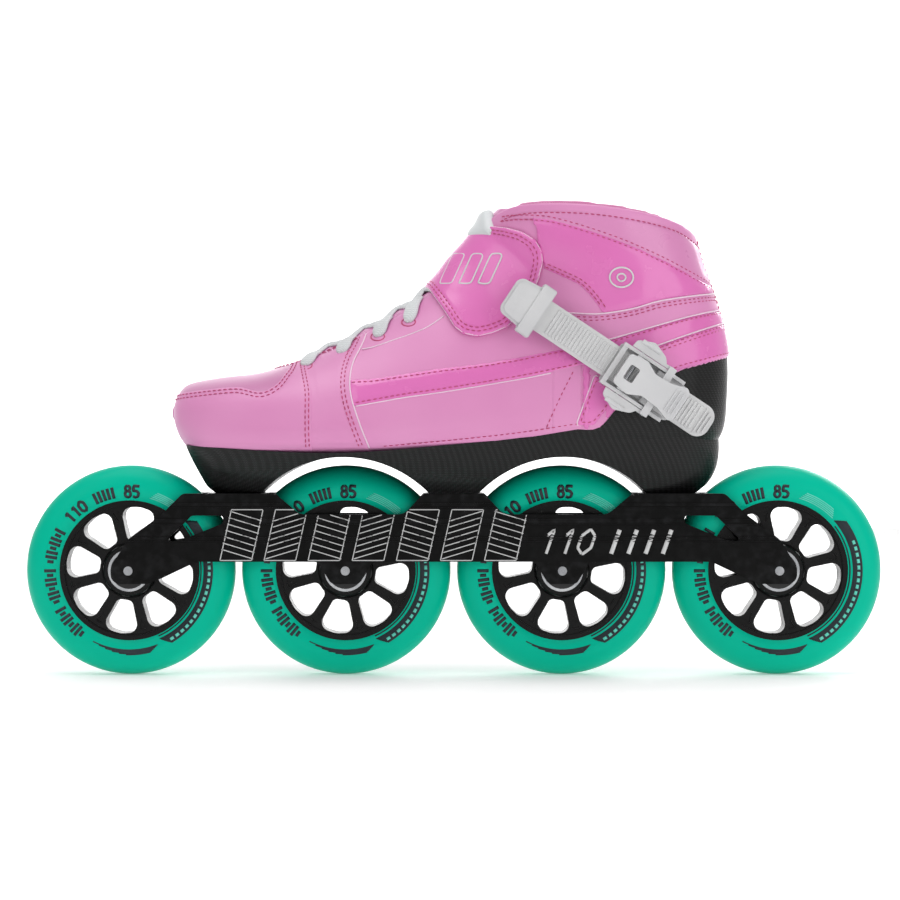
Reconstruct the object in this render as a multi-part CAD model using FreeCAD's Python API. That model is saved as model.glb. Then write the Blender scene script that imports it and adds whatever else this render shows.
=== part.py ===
import FreeCAD, Part

import math
import os

V = FreeCAD.Vector

# Inline speed skate for the left foot, in millimetres.
# The toe points along -X, the lateral (buckle) side faces -Y and +Z is up.
# The origin is on the ground, under the middle of the wheelbase, in the plane of the wheels.

# ---- driving dimensions: wheels, bearings and axles ----
tyre_radius = 55.0
tyre_width = 24.0
wheel_pitch = 113.3
wheel_count = 4
hub_radius = 36.7
hub_lip_radius = 34.1
hub_rim_width = 18.8
hub_step = 0.5
hub_rib_height = 2.6
hub_rib_width = 8.0
hub_boss_radius = 13.4
hub_boss_width = 23.6
spoke_count = 8
spoke_phase = 13.5
spoke_width = 5.0
spoke_thickness = 16.0
spoke_pocket_depth = 1.0
window_inner_radius = 15.9
bearing_radius = 11.0
bearing_bore_radius = 4.0
bearing_width = 7.0
bearing_spacing = 10.0
outer_ring_wall = 1.4
inner_ring_wall = 1.9
ball_radius = 1.985
ball_count = 7
ball_play = 0.05
shield_thickness = 0.3
shield_recess = 0.15
shield_gap = 0.15
axle_play = 0.03
axle_tip_radius = 2.35
axle_head_radius = 6.5
axle_head_height = 3.6
axle_socket_radius = 2.3
spacer_wall = 1.5

# ---- driving dimensions: frame ----
frame_half_width = 16.6
frame_wall = 2.6
standoff_radius = 5.7
standoff_gap = 0.05
boss_reach = 9.1
boss_drop = 6.8
rail_bottom = 59.8
rail_top = 84.5
land_top = 95.4
deck_thickness = 5.0
land_half_length = 15.9
land_shoulder = 10.0
end_land_inner = 20.0
end_land_outer = 28.2
lobe_half_width = 13.9
wheel_clearance = 2.5
groove_depth = 0.45
groove_height = 0.9
groove_levels = (70.9, 73.0, 79.8, 82.4, 88.6, 90.7)

# ---- driving dimensions: mounting ----
bolt_radius = 3.0
bolt_hole_play = 0.25
bolt_head_radius = 5.0
bolt_head_height = 4.4
bolt_socket_radius = 2.4
bolt_socket_depth = 2.4
washer_radius = 6.2
washer_thickness = 1.2
insert_radius = 6.0
insert_height = 13.0
thread_gap = 0.02

# ---- driving dimensions: boot ----
upper_wall = 3.6
base_wall = 3.0
gloss_thickness = 0.8
gloss_gap = 0.05
lining_thickness = 5.0
lining_rise = 2.5
lining_bottom = 196.0
lining_front = 29.0
tongue_thickness = 3.5
tongue_half_width = 25.0
throat_half_width = 11.5
throat_front = -90.0
insole_thickness = 4.0
layer_gap = 0.12
arch_clearance = 4.6
pillar_half_width = 17.5
keel_foot = 127.5
keel_inset = 0.99
keel_top = 126.0
keel_waist = 114.0
keel_waist_share = 0.86
sole_bottom = 114.4
strap_thickness = 2.6
strap_lift = 0.4
cap_clearance = 0.3
first_lace_row = -78.0
lace_pitch = 15.6
lace_row_count = 5
eyelet_place = 17.0
lace_crossing_rise = 1.2
lace_radius = 1.7
lace_lift = 2.9

# ---- driving dimensions: ankle buckle, in its own frame: u along the strap, v across it, w outward ----
buckle_origin = V(97.9, -39.4, 152.2)
buckle_slope = 33.5
buckle_yaw = 3.0
ladder_half_width = 8.7
ladder_thickness = 1.9
ladder_start = -76.0
ladder_end = 40.0
tooth_pitch = 2.0
tooth_height = 0.7
buckle_half_width = 12.2
buckle_front = -21.5
buckle_back = 20.0
buckle_floor = 1.2
buckle_cheek = 1.8
buckle_cheek_height = 7.8
buckle_pin_radius = 1.0
pin_play = 0.05
lever_pin_u = -10.0
lever_pin_w = 6.4
lever_head_half_width = 8.6
lever_waist_half_width = 6.4
lever_fan_half_width = 9.8
lever_thickness = 2.3
lever_gap = 0.6
barrel_radius = 1.75
catch_pin_u = 6.6
catch_pin_w = 6.1
catch_bridge_thickness = 1.3
catch_bridge_gap = 0.5
catch_arm_thickness = 1.8
catch_gap = 0.35
tab_reach = 19.5
spring_wire_radius = 0.3
spring_turns = 6
spring_gap = 0.3
cap_thickness = 7.4
cap_rivet_u = -71.0
cap_rivet_reach = 5.0
cap_rivet_radius = 1.5
cap_rivet_length = 5.0
base_rivet_radius = 1.6
base_rivet_depth = 4.0
ladder_slot_gap = 0.25

os.makedirs("parts", exist_ok=True)


# ---- general helpers ----
def save(name, shape):
    shape.exportStep("parts/" + name + ".step")


def box(x0, x1, y0, y1, z0, z1):
    return Part.makeBox(x1 - x0, y1 - y0, z1 - z0, V(x0, y0, z0))


def cylinder_y(x, z, radius, y0, y1):
    return Part.makeCylinder(radius, y1 - y0, V(x, y0, z), V(0, 1, 0))


def cylinder_z(x, y, radius, z0, z1):
    return Part.makeCylinder(radius, z1 - z0, V(x, y, z0), V(0, 0, 1))


def ring_y(outer, inner, y0, y1):
    return cylinder_y(0, 0, outer, y0, y1).cut(cylinder_y(0, 0, inner, y0 - 1, y1 + 1))


def moved(shape, x, y, z):
    copy = shape.copy()
    copy.translate(V(x, y, z))
    return copy


def rounded_wire(corners):
    """Closed wire through corners (point, radius), each corner replaced by a tangent arc."""
    count = len(corners)
    starts = []
    ends = []
    mids = []
    for i, (point, radius) in enumerate(corners):
        before = corners[i - 1][0] - point
        after = corners[(i + 1) % count][0] - point
        if radius <= 0:
            starts.append(point)
            ends.append(point)
            mids.append(None)
            continue
        half = before.getAngle(after) / 2.0
        before.normalize()
        after.normalize()
        reach = radius / math.tan(half)
        middle = before + after
        middle.normalize()
        starts.append(point + before * reach)
        ends.append(point + after * reach)
        mids.append(point + middle * (radius / math.sin(half) - radius))
    edges = []
    for i in range(count):
        if mids[i] is not None:
            edges.append(Part.Arc(starts[i], mids[i], ends[i]).toShape())
        following = starts[(i + 1) % count]
        if ends[i].distanceToPoint(following) > 1e-6:
            edges.append(Part.LineSegment(ends[i], following).toShape())
    return Part.Wire(edges)


def side_prism(corners, y0, y1):
    """Side-view outline, given as (x, z) or (x, z, corner radius), pulled from y0 to y1."""
    points = [(V(c[0], y0, c[1]), c[2] if len(c) > 2 else 0.0) for c in corners]
    return Part.Face(rounded_wire(points)).extrude(V(0, y1 - y0, 0))


def seam_prism(seam, rest, y0, y1):
    """Side-view outline closed by a smooth seam through its points and straight runs through rest."""
    curve = Part.BSplineCurve()
    curve.interpolate([V(x, y0, z) for x, z in seam])
    corners = [V(seam[-1][0], y0, seam[-1][1])] + [V(x, y0, z) for x, z in rest]
    corners.append(V(seam[0][0], y0, seam[0][1]))
    edges = [curve.toShape()]
    for a, b in zip(corners, corners[1:]):
        edges.append(Part.LineSegment(a, b).toShape())
    return Part.Face(Part.Wire(edges)).extrude(V(0, y1 - y0, 0))


def revolve_y(profile):
    """Solid turned about the Y axis from a wire in the XY plane."""
    return Part.Face(profile).revolve(V(0, 0, 0), V(0, 1, 0), 360)


def polygon_xy(points):
    corners = [V(x, y, 0) for x, y in points]
    return Part.makePolygon(corners + [corners[0]])


def fused(shapes):
    whole = shapes[0]
    for shape in shapes[1:]:
        whole = whole.fuse(shape)
    return whole.removeSplitter()


# ---- wheels ----
def wheel_centres():
    first = -wheel_pitch * (wheel_count - 1) / 2.0
    return [first + wheel_pitch * i for i in range(wheel_count)]


def make_tyre():
    half = tyre_width / 2.0
    lip = hub_rim_width / 2.0 + 0.1
    crown = Part.BSplineCurve()
    crown.interpolate([
        V(hub_radius, -lip, 0),
        V(hub_radius + 4.0, -half * 0.975, 0),
        V(hub_radius + 9.5, -half * 0.97, 0),
        V(tyre_radius - 3.9, -half * 0.75, 0),
        V(tyre_radius - 0.9, -half * 0.38, 0),
        V(tyre_radius, 0, 0),
        V(tyre_radius - 0.9, half * 0.38, 0),
        V(tyre_radius - 3.9, half * 0.75, 0),
        V(hub_radius + 9.5, half * 0.97, 0),
        V(hub_radius + 4.0, half * 0.975, 0),
        V(hub_radius, lip, 0),
    ])
    rib = hub_rib_width / 2.0
    inner = [(hub_radius, lip), (hub_radius, rib), (hub_radius + hub_rib_height, rib)]
    inner += [(hub_radius + hub_rib_height, -rib), (hub_radius, -rib), (hub_radius, -lip)]
    corners = [V(r, y, 0) for r, y in inner]
    edges = [crown.toShape()]
    for a, b in zip(corners, corners[1:]):
        edges.append(Part.LineSegment(a, b).toShape())
    return revolve_y(Part.Wire(edges))


def polar(radius, angle, across=0.0, y=0.0):
    """Point in the wheel's plane, at a radius along a direction and an offset across it."""
    c = math.cos(math.radians(angle))
    s = math.sin(math.radians(angle))
    return V(radius * c - across * s, y, radius * s + across * c)


def hub_window():
    """One rounded opening between two spokes, as a prism along Y."""
    step = 360.0 / spoke_count
    half = spoke_width / 2.0
    y = -tyre_width
    corner_radius = 4.6
    outer = hub_lip_radius - hub_step
    corners = [
        (polar(window_inner_radius, spoke_phase, half, y), 3.2),
        (polar(outer - 0.6, spoke_phase, half + 0.6, y), corner_radius),
        (polar(outer, spoke_phase + step / 2.0, 0, y), 12.0),
        (polar(outer - 0.6, spoke_phase + step, -half - 0.6, y), corner_radius),
        (polar(window_inner_radius, spoke_phase + step, -half, y), 3.2),
    ]
    return Part.Face(rounded_wire(corners)).extrude(V(0, 2 * tyre_width, 0))


def spoke_pocket():
    """Shallow triangular recess where a spoke meets the rim, on the lateral face."""
    y = -tyre_width
    corners = [
        (polar(25.5, spoke_phase, 0, y), 0.4),
        (polar(31.5, spoke_phase, -2.1, y), 0.6),
        (polar(31.5, spoke_phase, 2.1, y), 0.6),
    ]
    depth = spoke_thickness / 2.0 - spoke_pocket_depth
    return Part.Face(rounded_wire(corners)).extrude(V(0, tyre_width - depth, 0))


def make_hub():
    rim = hub_rim_width / 2.0
    boss = hub_boss_width / 2.0
    spoke = spoke_thickness / 2.0
    rib = hub_rib_width / 2.0
    shelf = bearing_spacing / 2.0
    half_side = [
        (bearing_radius - 1.5, shelf),
        (bearing_radius, shelf),
        (bearing_radius, boss),
        (hub_boss_radius - 0.6, boss),
        (hub_boss_radius, boss - 0.6),
        (hub_boss_radius + 1.2, spoke),
        (hub_lip_radius, spoke),
        (hub_lip_radius, rim),
        (hub_radius, rim),
        (hub_radius, rib),
        (hub_radius + hub_rib_height, rib),
    ]
    mirrored = [(r, -y) for r, y in reversed(half_side)]
    hub = revolve_y(polygon_xy(half_side + mirrored))
    window = hub_window()
    pocket = spoke_pocket()
    far_pocket = pocket.mirror(V(0, 0, 0), V(0, 1, 0))
    cuts = []
    for i in range(spoke_count):
        for tool in (window, pocket, far_pocket):
            turned = tool.copy()
            turned.rotate(V(0, 0, 0), V(0, 1, 0), -360.0 / spoke_count * i)
            cuts.append(turned)
    return hub.cut(Part.makeCompound(cuts))


def bearing_offsets():
    centre = (bearing_spacing + bearing_width) / 2.0
    return (-centre, centre)


def ball_pitch_radius():
    outer_wall = bearing_radius - outer_ring_wall
    inner_wall = bearing_bore_radius + inner_ring_wall
    return (outer_wall + inner_wall) / 2.0 - 0.25


def race():
    return Part.makeTorus(ball_pitch_radius(), ball_radius + ball_play, V(0, 0, 0), V(0, 1, 0))


def at_both_bearings(shape):
    return Part.makeCompound([moved(shape, 0, offset, 0) for offset in bearing_offsets()])


def make_outer_rings():
    half = bearing_width / 2.0
    ring = ring_y(bearing_radius, bearing_radius - outer_ring_wall, -half, half)
    return at_both_bearings(ring.cut(race()))


def make_inner_rings():
    half = bearing_width / 2.0
    ring = ring_y(bearing_bore_radius + inner_ring_wall, bearing_bore_radius, -half, half)
    return at_both_bearings(ring.cut(race()))


def ball_places():
    step = 360.0 / ball_count
    return [polar(ball_pitch_radius(), step * i) for i in range(ball_count)]


def make_balls():
    balls = Part.makeCompound([Part.makeSphere(ball_radius, place) for place in ball_places()])
    return at_both_bearings(balls)


def make_cages():
    pitch = ball_pitch_radius()
    half = ball_radius + 0.6
    cage = ring_y(pitch + 0.55, pitch - 0.55, -half, half)
    pockets = []
    for place in ball_places():
        pockets.append(Part.makeCylinder(ball_radius + 0.1, 6.0, place * 0.6, place))
    return at_both_bearings(cage.cut(Part.makeCompound(pockets)))


def make_shields():
    outer = bearing_radius - outer_ring_wall
    inner = bearing_bore_radius + inner_ring_wall + shield_gap
    face = bearing_width / 2.0 - shield_recess
    near = ring_y(outer, inner, -face, -face + shield_thickness)
    far = ring_y(outer, inner, face - shield_thickness, face)
    return at_both_bearings(Part.makeCompound([near, far]))


def make_spacer():
    bore = bearing_bore_radius + 0.1
    return ring_y(bore + spacer_wall, bore, -bearing_spacing / 2.0, bearing_spacing / 2.0)


def make_axle():
    """Bolt with its head outside the medial wall and its threaded tip in the lateral wall."""
    shank = bearing_bore_radius - axle_play
    lateral = -frame_half_width
    shoulder = lateral + frame_wall
    body = cylinder_y(0, 0, shank, shoulder, frame_half_width)
    tip = cylinder_y(0, 0, axle_tip_radius, lateral - 0.2, shoulder)
    head = cylinder_y(0, 0, axle_head_radius, frame_half_width, frame_half_width + axle_head_height)
    edge = head.Edges[0]
    for candidate in head.Edges:
        if candidate.CenterOfMass.y > edge.CenterOfMass.y:
            edge = candidate
    head = head.makeFillet(1.5, [edge])
    socket_corners = [
        (polar(axle_socket_radius / math.cos(math.radians(30)), 60 * i, 0, 0), 0.0) for i in range(6)
    ]
    socket = Part.Face(rounded_wire(socket_corners)).extrude(V(0, 20, 0))
    socket.translate(V(0, frame_half_width + 0.8, 0))
    return fused([body, tip, head]).cut(socket)


def save_wheels():
    parts = {
        "tyre": make_tyre(),
        "hub": make_hub(),
        "bearing_outer_rings": make_outer_rings(),
        "bearing_shields": make_shields(),
        "bearing_balls": make_balls(),
        "bearing_cages": make_cages(),
        "axle": make_axle(),
    }
    for number, x in enumerate(wheel_centres(), 1):
        for name, shape in parts.items():
            save(name + "_" + str(number), moved(shape, x, 0, tyre_radius))
    inner = make_inner_rings()
    spacer = make_spacer()
    save("bearing_inner_rings", Part.makeCompound([moved(inner, x, 0, tyre_radius) for x in wheel_centres()]))
    save("axle_spacers", Part.makeCompound([moved(spacer, x, 0, tyre_radius) for x in wheel_centres()]))


# ---- frame ----
def half_frame_outline():
    """Outline of the rear half of the frame wall, from the middle round the tail and back."""
    inner, outer = wheel_pitch / 2.0, wheel_pitch * 1.5
    last_land = wheel_pitch
    tail = outer + boss_reach
    floor = tyre_radius - boss_drop
    return [
        (land_half_length, land_top, 3.0),
        (land_half_length + land_shoulder, rail_top, 8.0),
        (last_land - end_land_inner - land_shoulder - 3.0, rail_top, 8.0),
        (last_land - end_land_inner, land_top, 4.0),
        (last_land + end_land_outer, land_top, 4.0),
        (last_land + end_land_outer + 11.0, rail_top, 6.0),
        (tail - 9.0, tyre_radius + 16.5, 12.0),
        (tail, tyre_radius + 2.0, 6.0),
        (tail, floor, 5.0),
        (outer - 9.8, floor, 4.0),
        (outer - 17.6, floor + 3.0, 8.0),
        (last_land + 21.0, rail_bottom, 8.0),
        (inner + lobe_half_width + 0.6, rail_bottom, 3.0),
        (inner + lobe_half_width - 6.6, floor, 3.5),
        (inner - lobe_half_width + 6.6, floor, 3.5),
        (inner - lobe_half_width - 0.6, rail_bottom, 3.0),
    ]


def frame_window():
    """Rounded triangular opening through both walls, over the last wheel."""
    centre = wheel_pitch
    return side_prism(
        [
            (centre + 7.0, rail_top - 0.6, 1.6),
            (centre + 23.5, rail_top - 0.6, 2.0),
            (centre + 37.5, tyre_radius + 15.0, 1.2),
            (centre + 28.5, tyre_radius + 16.2, 3.0),
            (centre + 7.2, rail_top - 4.6, 2.0),
        ],
        -2 * frame_half_width,
        2 * frame_half_width,
    )


def mirrored_x(shape):
    return shape.mirror(V(0, 0, 0), V(1, 0, 0))


def land_centres():
    return (-wheel_pitch, 0.0, wheel_pitch)


def make_frame():
    half = half_frame_outline()
    other = [(-x, z, r) for x, z, r in reversed(half)]
    frame = side_prism(half + other, -frame_half_width, frame_half_width)
    gap = frame_half_width - frame_wall
    reach = 2 * wheel_pitch
    channel = [box(-reach, reach, -gap, gap, 0, land_top - deck_thickness)]
    for x in wheel_centres():
        channel.append(cylinder_y(x, tyre_radius, tyre_radius + wheel_clearance, -gap, gap))
    window = frame_window()
    openings = [window, mirrored_x(window)]
    details = []
    for level in groove_levels:
        low = level - groove_height / 2.0
        high = level + groove_height / 2.0
        for side in (-1, 1):
            face = side * frame_half_width
            y0, y1 = sorted((face - side * groove_depth, face + side))
            details.append(box(-reach, reach, y0, y1, low, high))
    hole_radius = bolt_radius + bolt_hole_play
    for x in land_centres():
        details.append(cylinder_z(x, 0, hole_radius, land_top - 2 * deck_thickness, land_top + 1))
    for tools in (channel, openings, details):
        frame = frame.cut(Part.makeCompound(tools))
    standoff = bearing_spacing / 2.0 + bearing_width + standoff_gap
    for x in wheel_centres():
        near = cylinder_y(x, tyre_radius, standoff_radius, -gap, -standoff)
        far = cylinder_y(x, tyre_radius, standoff_radius, standoff, gap)
        frame = frame.fuse(near).fuse(far)
    holes = []
    for x in wheel_centres():
        lateral = -frame_half_width
        holes.append(cylinder_y(x, tyre_radius, axle_tip_radius, lateral - 1, lateral + frame_wall))
        shank = bearing_bore_radius
        holes.append(cylinder_y(x, tyre_radius, shank, lateral + frame_wall, frame_half_width + 1))
    return frame.cut(Part.makeCompound(holes)).removeSplitter()


def make_mounting():
    deck_under = land_top - deck_thickness
    bolts = []
    washers = []
    inserts = []
    for x in land_centres():
        seat = deck_under - washer_thickness
        head = cylinder_z(x, 0, bolt_head_radius, seat - bolt_head_height, seat)
        shank = cylinder_z(x, 0, bolt_radius, seat, land_top + insert_height - 2.0)
        head_under = seat - bolt_head_height
        socket = cylinder_z(x, 0, bolt_socket_radius, head_under - 1, head_under + bolt_socket_depth)
        bolts.append(head.fuse(shank).removeSplitter().cut(socket))
        washer = cylinder_z(x, 0, washer_radius, seat, deck_under)
        washers.append(washer.cut(cylinder_z(x, 0, bolt_radius + bolt_hole_play, seat - 1, deck_under + 1)))
        insert = cylinder_z(x, 0, insert_radius, land_top, land_top + insert_height)
        bore = cylinder_z(x, 0, bolt_radius + thread_gap, land_top - 1, land_top + insert_height - 1.5)
        inserts.append(insert.cut(bore))
    return Part.makeCompound(bolts), Part.makeCompound(washers), Part.makeCompound(inserts)


# ---- boot form ----
# Each station is a slice of the boot: its front or top point and its rear or sole point in the
# side view, its half width, the sideways place of its middle, how much narrower it is at the
# top than at the sole, and how square its top and its bottom are (2 is an ellipse).
boot_stations = [
    ((-146.4, 141.0), (-146.4, 134.0), 8.5, 5.5, 0.00, 2.2, 2.2),
    ((-145.0, 146.2), (-145.0, 129.0), 18.0, 5.2, 0.00, 2.2, 2.3),
    ((-141.0, 151.4), (-141.0, 121.5), 26.5, 4.6, 0.03, 2.3, 2.6),
    ((-133.0, 154.0), (-133.0, 116.2), 34.5, 3.6, 0.05, 2.3, 3.0),
    ((-120.0, 156.0), (-120.0, 114.4), 41.5, 2.6, 0.07, 2.4, 3.2),
    ((-103.0, 158.0), (-103.0, 114.4), 46.0, 1.6, 0.10, 2.3, 3.4),
    ((-85.0, 163.6), (-85.0, 114.4), 48.0, 1.0, 0.14, 2.1, 3.4),
    ((-65.0, 171.8), (-65.0, 114.4), 47.5, 0.0, 0.20, 2.0, 3.4),
    ((-45.0, 181.8), (-45.0, 114.4), 45.0, -1.5, 0.26, 2.0, 3.4),
    ((-30.0, 190.5), (-30.0, 114.4), 42.5, -2.5, 0.30, 2.0, 3.4),
    ((-15.0, 201.0), (-15.0, 114.4), 40.5, -3.0, 0.32, 2.0, 3.4),
    ((-2.5, 215.3), (24.5, 114.4), 38.5, -2.0, 0.30, 2.0, 3.4),
    ((6.2, 225.3), (70.2, 114.4), 37.3, -1.0, 0.24, 2.1, 3.2),
    ((11.1, 231.0), (108.8, 114.4), 36.8, -0.5, 0.16, 2.2, 2.8),
    ((14.6, 235.3), (139.0, 123.3), 36.6, 0.0, 0.06, 2.2, 2.4),
    ((16.3, 238.8), (143.7, 142.5), 36.8, 0.0, 0.00, 2.2, 2.3),
    ((18.0, 243.0), (143.8, 170.2), 37.2, 0.0, -0.02, 2.3, 2.2),
    ((19.6, 248.0), (136.0, 201.0), 37.6, 0.0, -0.02, 2.3, 2.2),
    ((21.0, 253.0), (127.7, 226.4), 37.6, 0.0, 0.00, 2.3, 2.2),
    ((22.0, 258.6), (125.6, 250.0), 37.6, 0.0, 0.00, 2.3, 2.2),
]
slice_points = 28
toe_slices = 4.0
smallest_slice = 2.0


def slice_curve(station, offset):
    """Closed smooth curve of one slice, grown by offset (or shrunk if it is negative)."""
    (fx, fz), (bx, bz), width, centre, taper, top_power, bottom_power = station
    front = V(fx, 0, fz)
    back = V(bx, 0, bz)
    middle = (front + back) * 0.5
    along = (front - back) * 0.5
    half = along.Length
    along.normalize()
    points = []
    for i in range(slice_points):
        angle = 2.0 * math.pi * i / slice_points
        c, s = math.cos(angle), math.sin(angle)
        power = 2.0 / (top_power if c > 0 else bottom_power)
        up = math.copysign(abs(c) ** power, c)
        out = math.copysign(abs(s) ** power, s)
        reach = (width + offset) * out * (1.0 - taper * up)
        points.append(middle + along * (up * (half + offset)) + V(0, centre + reach, 0))
    curve = Part.BSplineCurve()
    curve.interpolate(Points=points, PeriodicFlag=True)
    return curve


def boot_solid(offset):
    """Closed form of the boot, its skin moved outward by offset."""
    curves = []
    for number, station in enumerate(boot_stations):
        (fx, fz), (bx, bz), width = station[:3]
        half = math.hypot(fx - bx, fz - bz) / 2.0
        if min(half, width) + offset < smallest_slice:
            continue
        shift = offset * max(0.0, 1.0 - number / toe_slices)
        shifted = ((fx - shift, fz), (bx - shift, bz)) + station[2:]
        curves.append(slice_curve(shifted, offset))
    skin = Part.BSplineSurface()
    skin.buildFromNSections(curves)
    ends = [Part.Face(Part.Wire([curve.toShape()])) for curve in (curves[0], curves[-1])]
    shell = Part.makeShell([skin.toShape()] + ends)
    shell.sewShape()
    return Part.makeSolid(shell)


far = 120.0
collar_line = [
    (10.0, 231.0), (18.0, 241.0), (30.0, 247.0), (50.0, 248.2), (75.0, 246.4),
    (100.0, 241.6), (118.0, 236.0), (132.0, 228.0),
]
pink_edge = [
    (-150.0, 121.5), (-136.0, 120.4), (-103.0, 118.2), (-60.0, 116.8), (-28.0, 118.6), (13.0, 122.4),
    (40.0, 125.6), (62.0, 129.0), (74.0, 129.6), (83.0, 139.0), (96.0, 149.5), (114.0, 158.4),
    (128.0, 162.6), (150.0, 168.5),
]
toe_seam = [
    (-139.0, 112.0), (-112.0, 134.0), (-107.0, 148.0), (-101.0, 149.6), (-94.0, 149.0), (-88.0, 156.0),
    (-84.0, 162.0), (-80.0, 176.0),
]
quarter_seam = [
    (-44.0, 112.0), (-50.0, 130.0), (-55.0, 147.0), (-53.0, 166.0), (-47.0, 178.0), (-43.0, 190.0),
]


def above_collar(lift):
    seam = [(x, z + lift) for x, z in collar_line]
    return seam_prism(seam, [(200.0, 228.0), (200.0, 300.0), (10.0, 300.0)], -far, far)


def below_edge():
    return seam_prism(pink_edge, [(170.0, 60.0), (-170.0, 60.0)], -far, far)


def ahead_of(seam):
    return seam_prism(seam, [(seam[-1][0], 290.0), (-200.0, 290.0), (-200.0, seam[0][1])], -far, far)


def keel_rim(outer):
    """Points round the boot where the keel starts, evenly spaced and a little inside its skin."""
    outline = outer.slice(V(0, 0, 1), keel_top)[0]
    return [V(p.x * keel_inset, p.y * keel_inset, p.z) for p in outline.discretize(slice_points + 1)[:-1]]


def closed_curve(points):
    curve = Part.BSplineCurve()
    curve.interpolate(Points=points, PeriodicFlag=True)
    return Part.Wire([curve.toShape()])


def make_keel(outer):
    """Body under the boot that narrows to the pillars, cut to the base's profile."""
    rim = keel_rim(outer)
    length = max(abs(p.x) for p in rim)
    width = max(abs(p.y) for p in rim)
    waist = [V(p.x, p.y * keel_waist_share, keel_waist) for p in rim]
    foot = []
    for p in rim:
        angle = math.atan2(p.y / width, p.x / length)
        c, s = math.cos(angle), math.sin(angle)
        x = keel_foot * math.copysign(abs(c) ** 0.8, c)
        y = pillar_half_width * math.copysign(abs(s) ** 0.55, s)
        foot.append(V(x, y, land_top))
    keel = Part.makeLoft([closed_curve(points) for points in (rim, waist, foot)], True, False)
    trim = side_prism(
        [
            (-142.0, 128.0), (-139.0, 119.0, 4.0), (-129.0, 99.0, 5.0), (-125.0, land_top, 2.0),
            (127.0, land_top, 2.0), (136.0, 102.5, 8.0), (141.5, 116.0, 8.0), (143.5, 128.0),
        ],
        -far,
        far,
    )
    return keel.common(trim)


def make_base(outer):
    """Carbon shell with a heel cup, and three pillars that stand on the frame's lands."""
    cavity = boot_solid(-base_wall)
    under = below_edge()
    cup = outer.common(under)
    arches = []
    for x in wheel_centres()[1:-1]:
        arches.append(cylinder_y(x, tyre_radius, tyre_radius + arch_clearance, -far, far))
    base = cup.fuse(make_keel(outer).common(under)).cut(cavity)
    base = base.cut(Part.makeCompound(arches))
    pockets = []
    for x in land_centres():
        pockets.append(cylinder_z(x, 0, insert_radius, land_top - 1, land_top + insert_height))
    return base.cut(Part.makeCompound(pockets))


def make_insole():
    room = boot_solid(-upper_wall - layer_gap)
    floor = sole_bottom + base_wall + layer_gap
    return room.common(box(-200, 200, -far, far, floor, floor + insole_thickness))


def make_shell(outer, inner, lift):
    """Skin between two boot forms, open at the collar."""
    return outer.cut(inner).cut(above_collar(lift))


def throat():
    """Opening over the instep that the tongue fills."""
    return side_prism(
        [
            (throat_front, 150.0, 4.0), (-40.0, 160.0), (20.0, 200.0), (60.0, 262.0), (-40.0, 262.0),
            (throat_front, 200.0),
        ],
        -throat_half_width,
        throat_half_width,
    )


def make_upper(outer):
    """The four sewn panels of the upper."""
    inner = boot_solid(-upper_wall)
    upper = make_shell(outer, inner, 0.0).cut(below_edge())
    slot = throat()
    toe = upper.common(ahead_of(toe_seam))
    behind = upper.cut(ahead_of(toe_seam)).cut(slot)
    forefoot = behind.common(ahead_of(quarter_seam))
    quarters = behind.cut(ahead_of(quarter_seam))
    lateral = quarters.common(box(-200, 200, -far, 0, 0, 300))
    medial = quarters.common(box(-200, 200, 0, far, 0, 300))
    return toe, forefoot, lateral, medial


def make_lining():
    outer = boot_solid(-upper_wall - layer_gap)
    inner = boot_solid(-upper_wall - layer_gap - lining_thickness)
    rim = [(x, z + lining_rise) for x, z in collar_line if x > lining_front]
    foot = [(200.0, rim[-1][1]), (200.0, lining_bottom), (lining_front, lining_bottom), (lining_front, 240.0)]
    region = seam_prism(rim, foot, -far, far)
    return outer.common(region).cut(inner)


def make_tongue():
    top = upper_wall + layer_gap
    outer = boot_solid(-top)
    inner = boot_solid(-top - tongue_thickness)
    strip = side_prism(
        [(-80.0, 150.0), (-40.0, 150.0), (0.0, 185.0), (24.0, 215.0), (25.5, 262.0), (-80.0, 262.0)],
        -tongue_half_width,
        tongue_half_width,
    )
    return outer.cut(inner).cut(above_collar(3.0)).common(strip)


def make_gloss(outline):
    """Lateral and medial copies of a thin glossy overlay with the given side-view outline."""
    outer = boot_solid(gloss_gap + gloss_thickness)
    inner = boot_solid(gloss_gap)
    skin = outer.cut(inner).cut(above_collar(-2.0))
    lateral = skin.common(side_prism(outline, -far, -throat_half_width))
    medial = skin.common(side_prism(outline, throat_half_width, far))
    return lateral, medial


def make_ankle_strap():
    """Flap that wraps the instep from the medial quarter to the end cap on the lateral side."""
    lift = gloss_gap + gloss_thickness + strap_lift
    skin = boot_solid(lift + strap_thickness).cut(boot_solid(lift))
    lateral = side_prism(
        [
            (-30.0, 212.0), (4.0, 250.0), (28.0, 234.0, 6.0), (41.5, 233.0, 8.0), (45.5, 221.0, 5.0),
            (40.0, 196.5, 2.0), (28.0, 181.5, 2.0), (13.5, 175.0, 8.0), (1.5, 183.0, 8.0),
            (-12.0, 201.0, 4.0),
        ],
        -far,
        0,
    )
    medial = side_prism(
        [
            (-30.0, 212.0), (4.0, 250.0), (30.0, 232.0, 10.0), (44.0, 214.0, 10.0), (58.0, 180.0, 4.0),
            (26.0, 166.0, 4.0), (8.0, 186.0, 10.0), (-12.0, 201.0, 4.0),
        ],
        0,
        far,
    )
    strap = skin.common(lateral).fuse(skin.common(medial)).removeSplitter()
    return strap.cut(in_buckle(cap_envelope()))


def skin_point(skin, x, y, lift):
    """Point on the instep skin above a side-view station x, at sideways place y, raised by lift."""
    line = Part.makeLine(V(x, y, 140), V(x, y, 320))
    touches = line.distToShape(skin)[1]
    return V(x, y, max(pair[0].z for pair in touches) + lift)


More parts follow.
